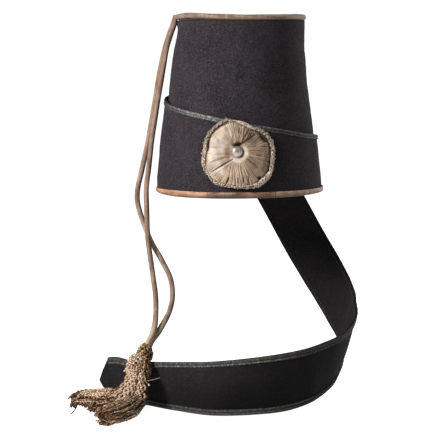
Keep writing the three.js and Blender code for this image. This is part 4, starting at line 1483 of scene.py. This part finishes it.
# Turns about a tassel part's middle line, from where to where.
FRONT = (0.3, 2.85)
FRONT_AND_TOP = (2.8, 5.1)
# The fan's courses: points along its left side, its middle and its right side.
FAN = np.array((
    ((-130.5, -101, -203), (-135.2, -105, -212), (-141.5, -108.5, -220.5), (-157, -112, -231.5)),
    ((-121, -105, -203), (-122.5, -109, -213), (-125.5, -114, -223), (-133, -129, -235.5)),
    ((-110.5, -101, -205), (-110, -105, -213), (-109.2, -111, -223), (-109, -116, -235)),
))


def fan(shape):
    """The pale, wavy strands that spread from the skirt's neck and lie over both bundles, on back layers
    painted dark as shade, with painted shade on the right.
    """
    random = np.random.default_rng(103)
    left, middle, right = FAN
    go = np.linspace(0, 1, 70)
    paths = []
    tones = []
    sizes = []
    # The back layers are dark, as painted shade between the pale front strands.
    for back, count, tone, size in ((2.4, 16, 0.12, 1), (1.2, 12, 0.5, 1.15), (0, 10, 1, 1.4)):
        for index in range(count):
            share = 2 * (index + 0.5) / count - 1 + 0.04 * random.normal()
            course = middle + share * (right - left) / 2 + share**2 * ((right + left) / 2 - middle)
            path = curve(course, go * random.uniform(0.9, 1))
            run = run_along(path)
            swing = run * 2 * math.pi / random.uniform(9, 11) + math.pi * index + 0.4 * random.normal()
            path[:, 0] += random.uniform(0.9, 1.4) * np.sin(swing) * smooth(go, 0.03, 0.25)
            path[:, 1] += back + 0.5 * np.cos(swing * 0.9)
            paths.append(path)
            # Painted shade on the right.
            darker = 0.6 * smooth(path[:, 0], -119, -109)
            tones.append(tone + 0.16 * random.normal() + 0.15 * np.sin(swing) - darker)
            sizes.append(size * random.uniform(0.85, 1.15) * (1 + 0.14 * np.sin(run * 1.1 + index)))
    ropes(shape, paths, sizes, sides=7, lobes=2, depth=0.25, tone=np.clip(tones, 0, 1),
          phase=random.uniform(0, 6, len(paths)))


def bands(shape):
    """The fine, nearly parallel threads that cross the bundle from right to left, every other one painted
    dark as the shade between them.
    """
    random = np.random.default_rng(105)
    for count, course in (
        (9, ((-120, -123, -231.4), (-139, -134, -231.4), (-158, -134, -234.2))),
        (7, ((-117, -129, -238), (-134, -153, -238.4), (-153, -163, -239.4))),
    ):
        for index in range(count):
            step = index * np.array([0, -2.9, -0.7]) + random.normal(size=3) * np.array([1.5, 0.4, 0.2])
            line = np.array(course) + step * np.array([[1], [1.05], [0.8]])
            path = curve(line, np.linspace(0, random.uniform(0.75, 1), 40))
            path[:, 2] = np.maximum(path[:, 2], FLOOR_LEVEL + 0.9)
            radius = random.uniform(0.7, 0.95)
            # Every other thread is dark: painted shade.
            tone = (0.95 if index % 2 else 0.1) + 0.12 * random.normal()
            ropes(shape, [path], radius, depth=0.15, pitch=11, tone=np.clip(tone, 0, 1))


def skirt():
    """The skirt of looser, paler threads below the head."""
    shape = shade_core(Shape(), SKIRT, 0.78)
    strands(shape, SKIRT, 22, 81, ((-0.12, 0), (0.9, 1.05)), (0.84, 0.92), 1, 0.58)
    strands(shape, SKIRT, 10, 96, ((-0.1, 0), (0.3, 0.6)), (0.95, 1.02), 1, 0.9, turns=FRONT, vary=0.15)
    bead(shape, (-134.6, -100, -202.7))
    bead(shape, (-105.9, -112, -216.9))
    loose(shape, 0.45, 0.7, (-129, -99, -204), (-132, -100, -203.2), (-134, -100, -202.8))
    loose(shape, 0.45, 0.6, (-112, -106, -212), (-108.5, -110, -214.6), (-106.3, -111.6, -216.4))
    loose(shape, 0.5, 1, (-112, -104, -213.9), (-109.6, -105, -213.6), (-101, -100, -212.9),
          (-93.6, -95, -211.6))
    return tassel_piece("skirt_threads", shape, "skirt")


def tuft():
    """The threads that lie to the left, matted and frayed."""
    shape = shade_core(Shape(), TUFT, 0.62)
    shade_core(shape, FLOW_LEFT, 0.7, steps=24)
    shade_core(shape, MAT, 0.8)
    strands(shape, MAT, 18, 98, ((0, 0.2), (0.8, 1)), (0.8, 1), 0.9, 0.26, crimp=0.6, curl=1.5)
    # The strands laid over the top are given a higher tone than those all round: painted light on top.
    strands(shape, TUFT, 34, 82, ((0, 0.3), (0.8, 1)), (0.5, 1), 1, 0.6, wave=0.4, crimp=0.5, curl=1.8,
            vary=0.3)
    strands(shape, TUFT, 34, 86, ((0.22, 0.36), (0.6, 0.8)), (0.92, 1.05), 0.95, 1, wave=0.2,
            turns=(3.8, 5.4), vary=0.08)
    strands(shape, TUFT, 16, 94, ((0.1, 0.5), (0.7, 0.98)), (0.95, 1.04), 0.95, 0.7, wave=0.5, crimp=0.6,
            turns=FRONT_AND_TOP, vary=0.3)
    strands(shape, FLOW_LEFT, 26, 84, ((0.15, 0.3), (0.7, 1)), (0.84, 0.96), 0.95, 0.58, curl=0.8, vary=0.3)
    hooks(shape, TUFT, 28, 91, (0.86, 0.98), (1.5, 5.5), (-1, -0.2, 0.1), 7.5, 0.08, 1.15)
    hooks(shape, TUFT, 16, 100, (0.05, 0.45), (4, 5), (-0.3, -0.3, 0.9), 3.2, 0.15, 0.75)
    hooks(shape, TUFT, 10, 104, (0.75, 0.95), (3.6, 5.2), (-0.6, -0.5, 0.5), 3.5, 0.2, 0.8)
    hooks(shape, MAT, 14, 95, (0.7, 0.98), (1.5, 5.5), (-0.8, -0.5, -0.1), 6, 0.1, 0.8)
    loose(shape, 0.7, 0.15, (-190, -85, -243), (-192, -84, -248), (-193.5, -92, -250),
          (-196.2, -116, -250.2))
    return tassel_piece("tuft_threads", shape, "tuft")


def bundle():
    """The long threads that bend forwards and lie in a bundle pointing left, under the pale fan."""
    shape = shade_core(Shape(), BUNDLE, 0.66)
    shade_core(shape, FLOW_FRONT, 0.7, steps=24)
    # The strands laid over the top are given a higher tone than those all round: painted light on top,
    # painted shade below.
    strands(shape, BUNDLE, 34, 83, ((-0.04, 0.06), (0.8, 0.97)), (0.76, 0.94), 0.9, 0.38, wave=0.06,
            crimp=0.15, curl=1, vary=0.3)
    strands(shape, BUNDLE, 72, 101, ((0, 0.15), (0.72, 0.96)), (0.93, 1), 0.62, 0.64, wave=0.05, crimp=0.1,
            curl=0.6, turns=(2.5, 5.3), vary=0.4, pitch=9)
    strands(shape, FLOW_FRONT, 22, 85, ((0, 0.03), (0.5, 0.85)), (0.82, 0.9), 0.95, 0.38, vary=0.3)
    strands(shape, FLOW_FRONT, 16, 87, ((0.42, 0.52), (0.75, 0.95)), (0.97, 1.04), 0.7, 0.85, wave=0.03,
            crimp=0.08, turns=(3.6, 5), vary=0.3, pitch=9)
    fan(shape)
    bands(shape)
    for tone, *points in (
        (0.5, (-148, -157, -241.2), (-157, -160.5, -242.6), (-165, -161, -243.3)),
        (0.65, (-148, -164, -245), (-157, -167.5, -246.6), (-165, -168, -247.2)),
        (0.35, (-148, -160, -243.6), (-156, -163.5, -244.8), (-161.5, -164, -245.4)),
        (0.3, (-147, -171, -248.4), (-154, -175, -249.6), (-159.5, -176, -249.4), (-160, -176, -247.6)),
        (0.5, (-144, -174, -248.6), (-149, -178.5, -249.8), (-153.5, -180, -249.6)),
    ):
        loose(shape, 1.05, tone, *points)
    hooks(shape, BUNDLE, 60, 92, (0.82, 0.98), (1, 5.6), (-1, -0.4, -0.1), 6, 0.25, 0.85)
    hooks(shape, BUNDLE, 9, 93, (0.02, 0.12), (1.8, 2.9), (0.6, 0.1, -0.6), 5, 0.05, 0.9)
    return tassel_piece("bundle_threads", shape, "bundle")


knot_net, head_net = knot_and_head()
tassel_pieces = [knot_net, head_net, skirt(), tuft(), bundle()]
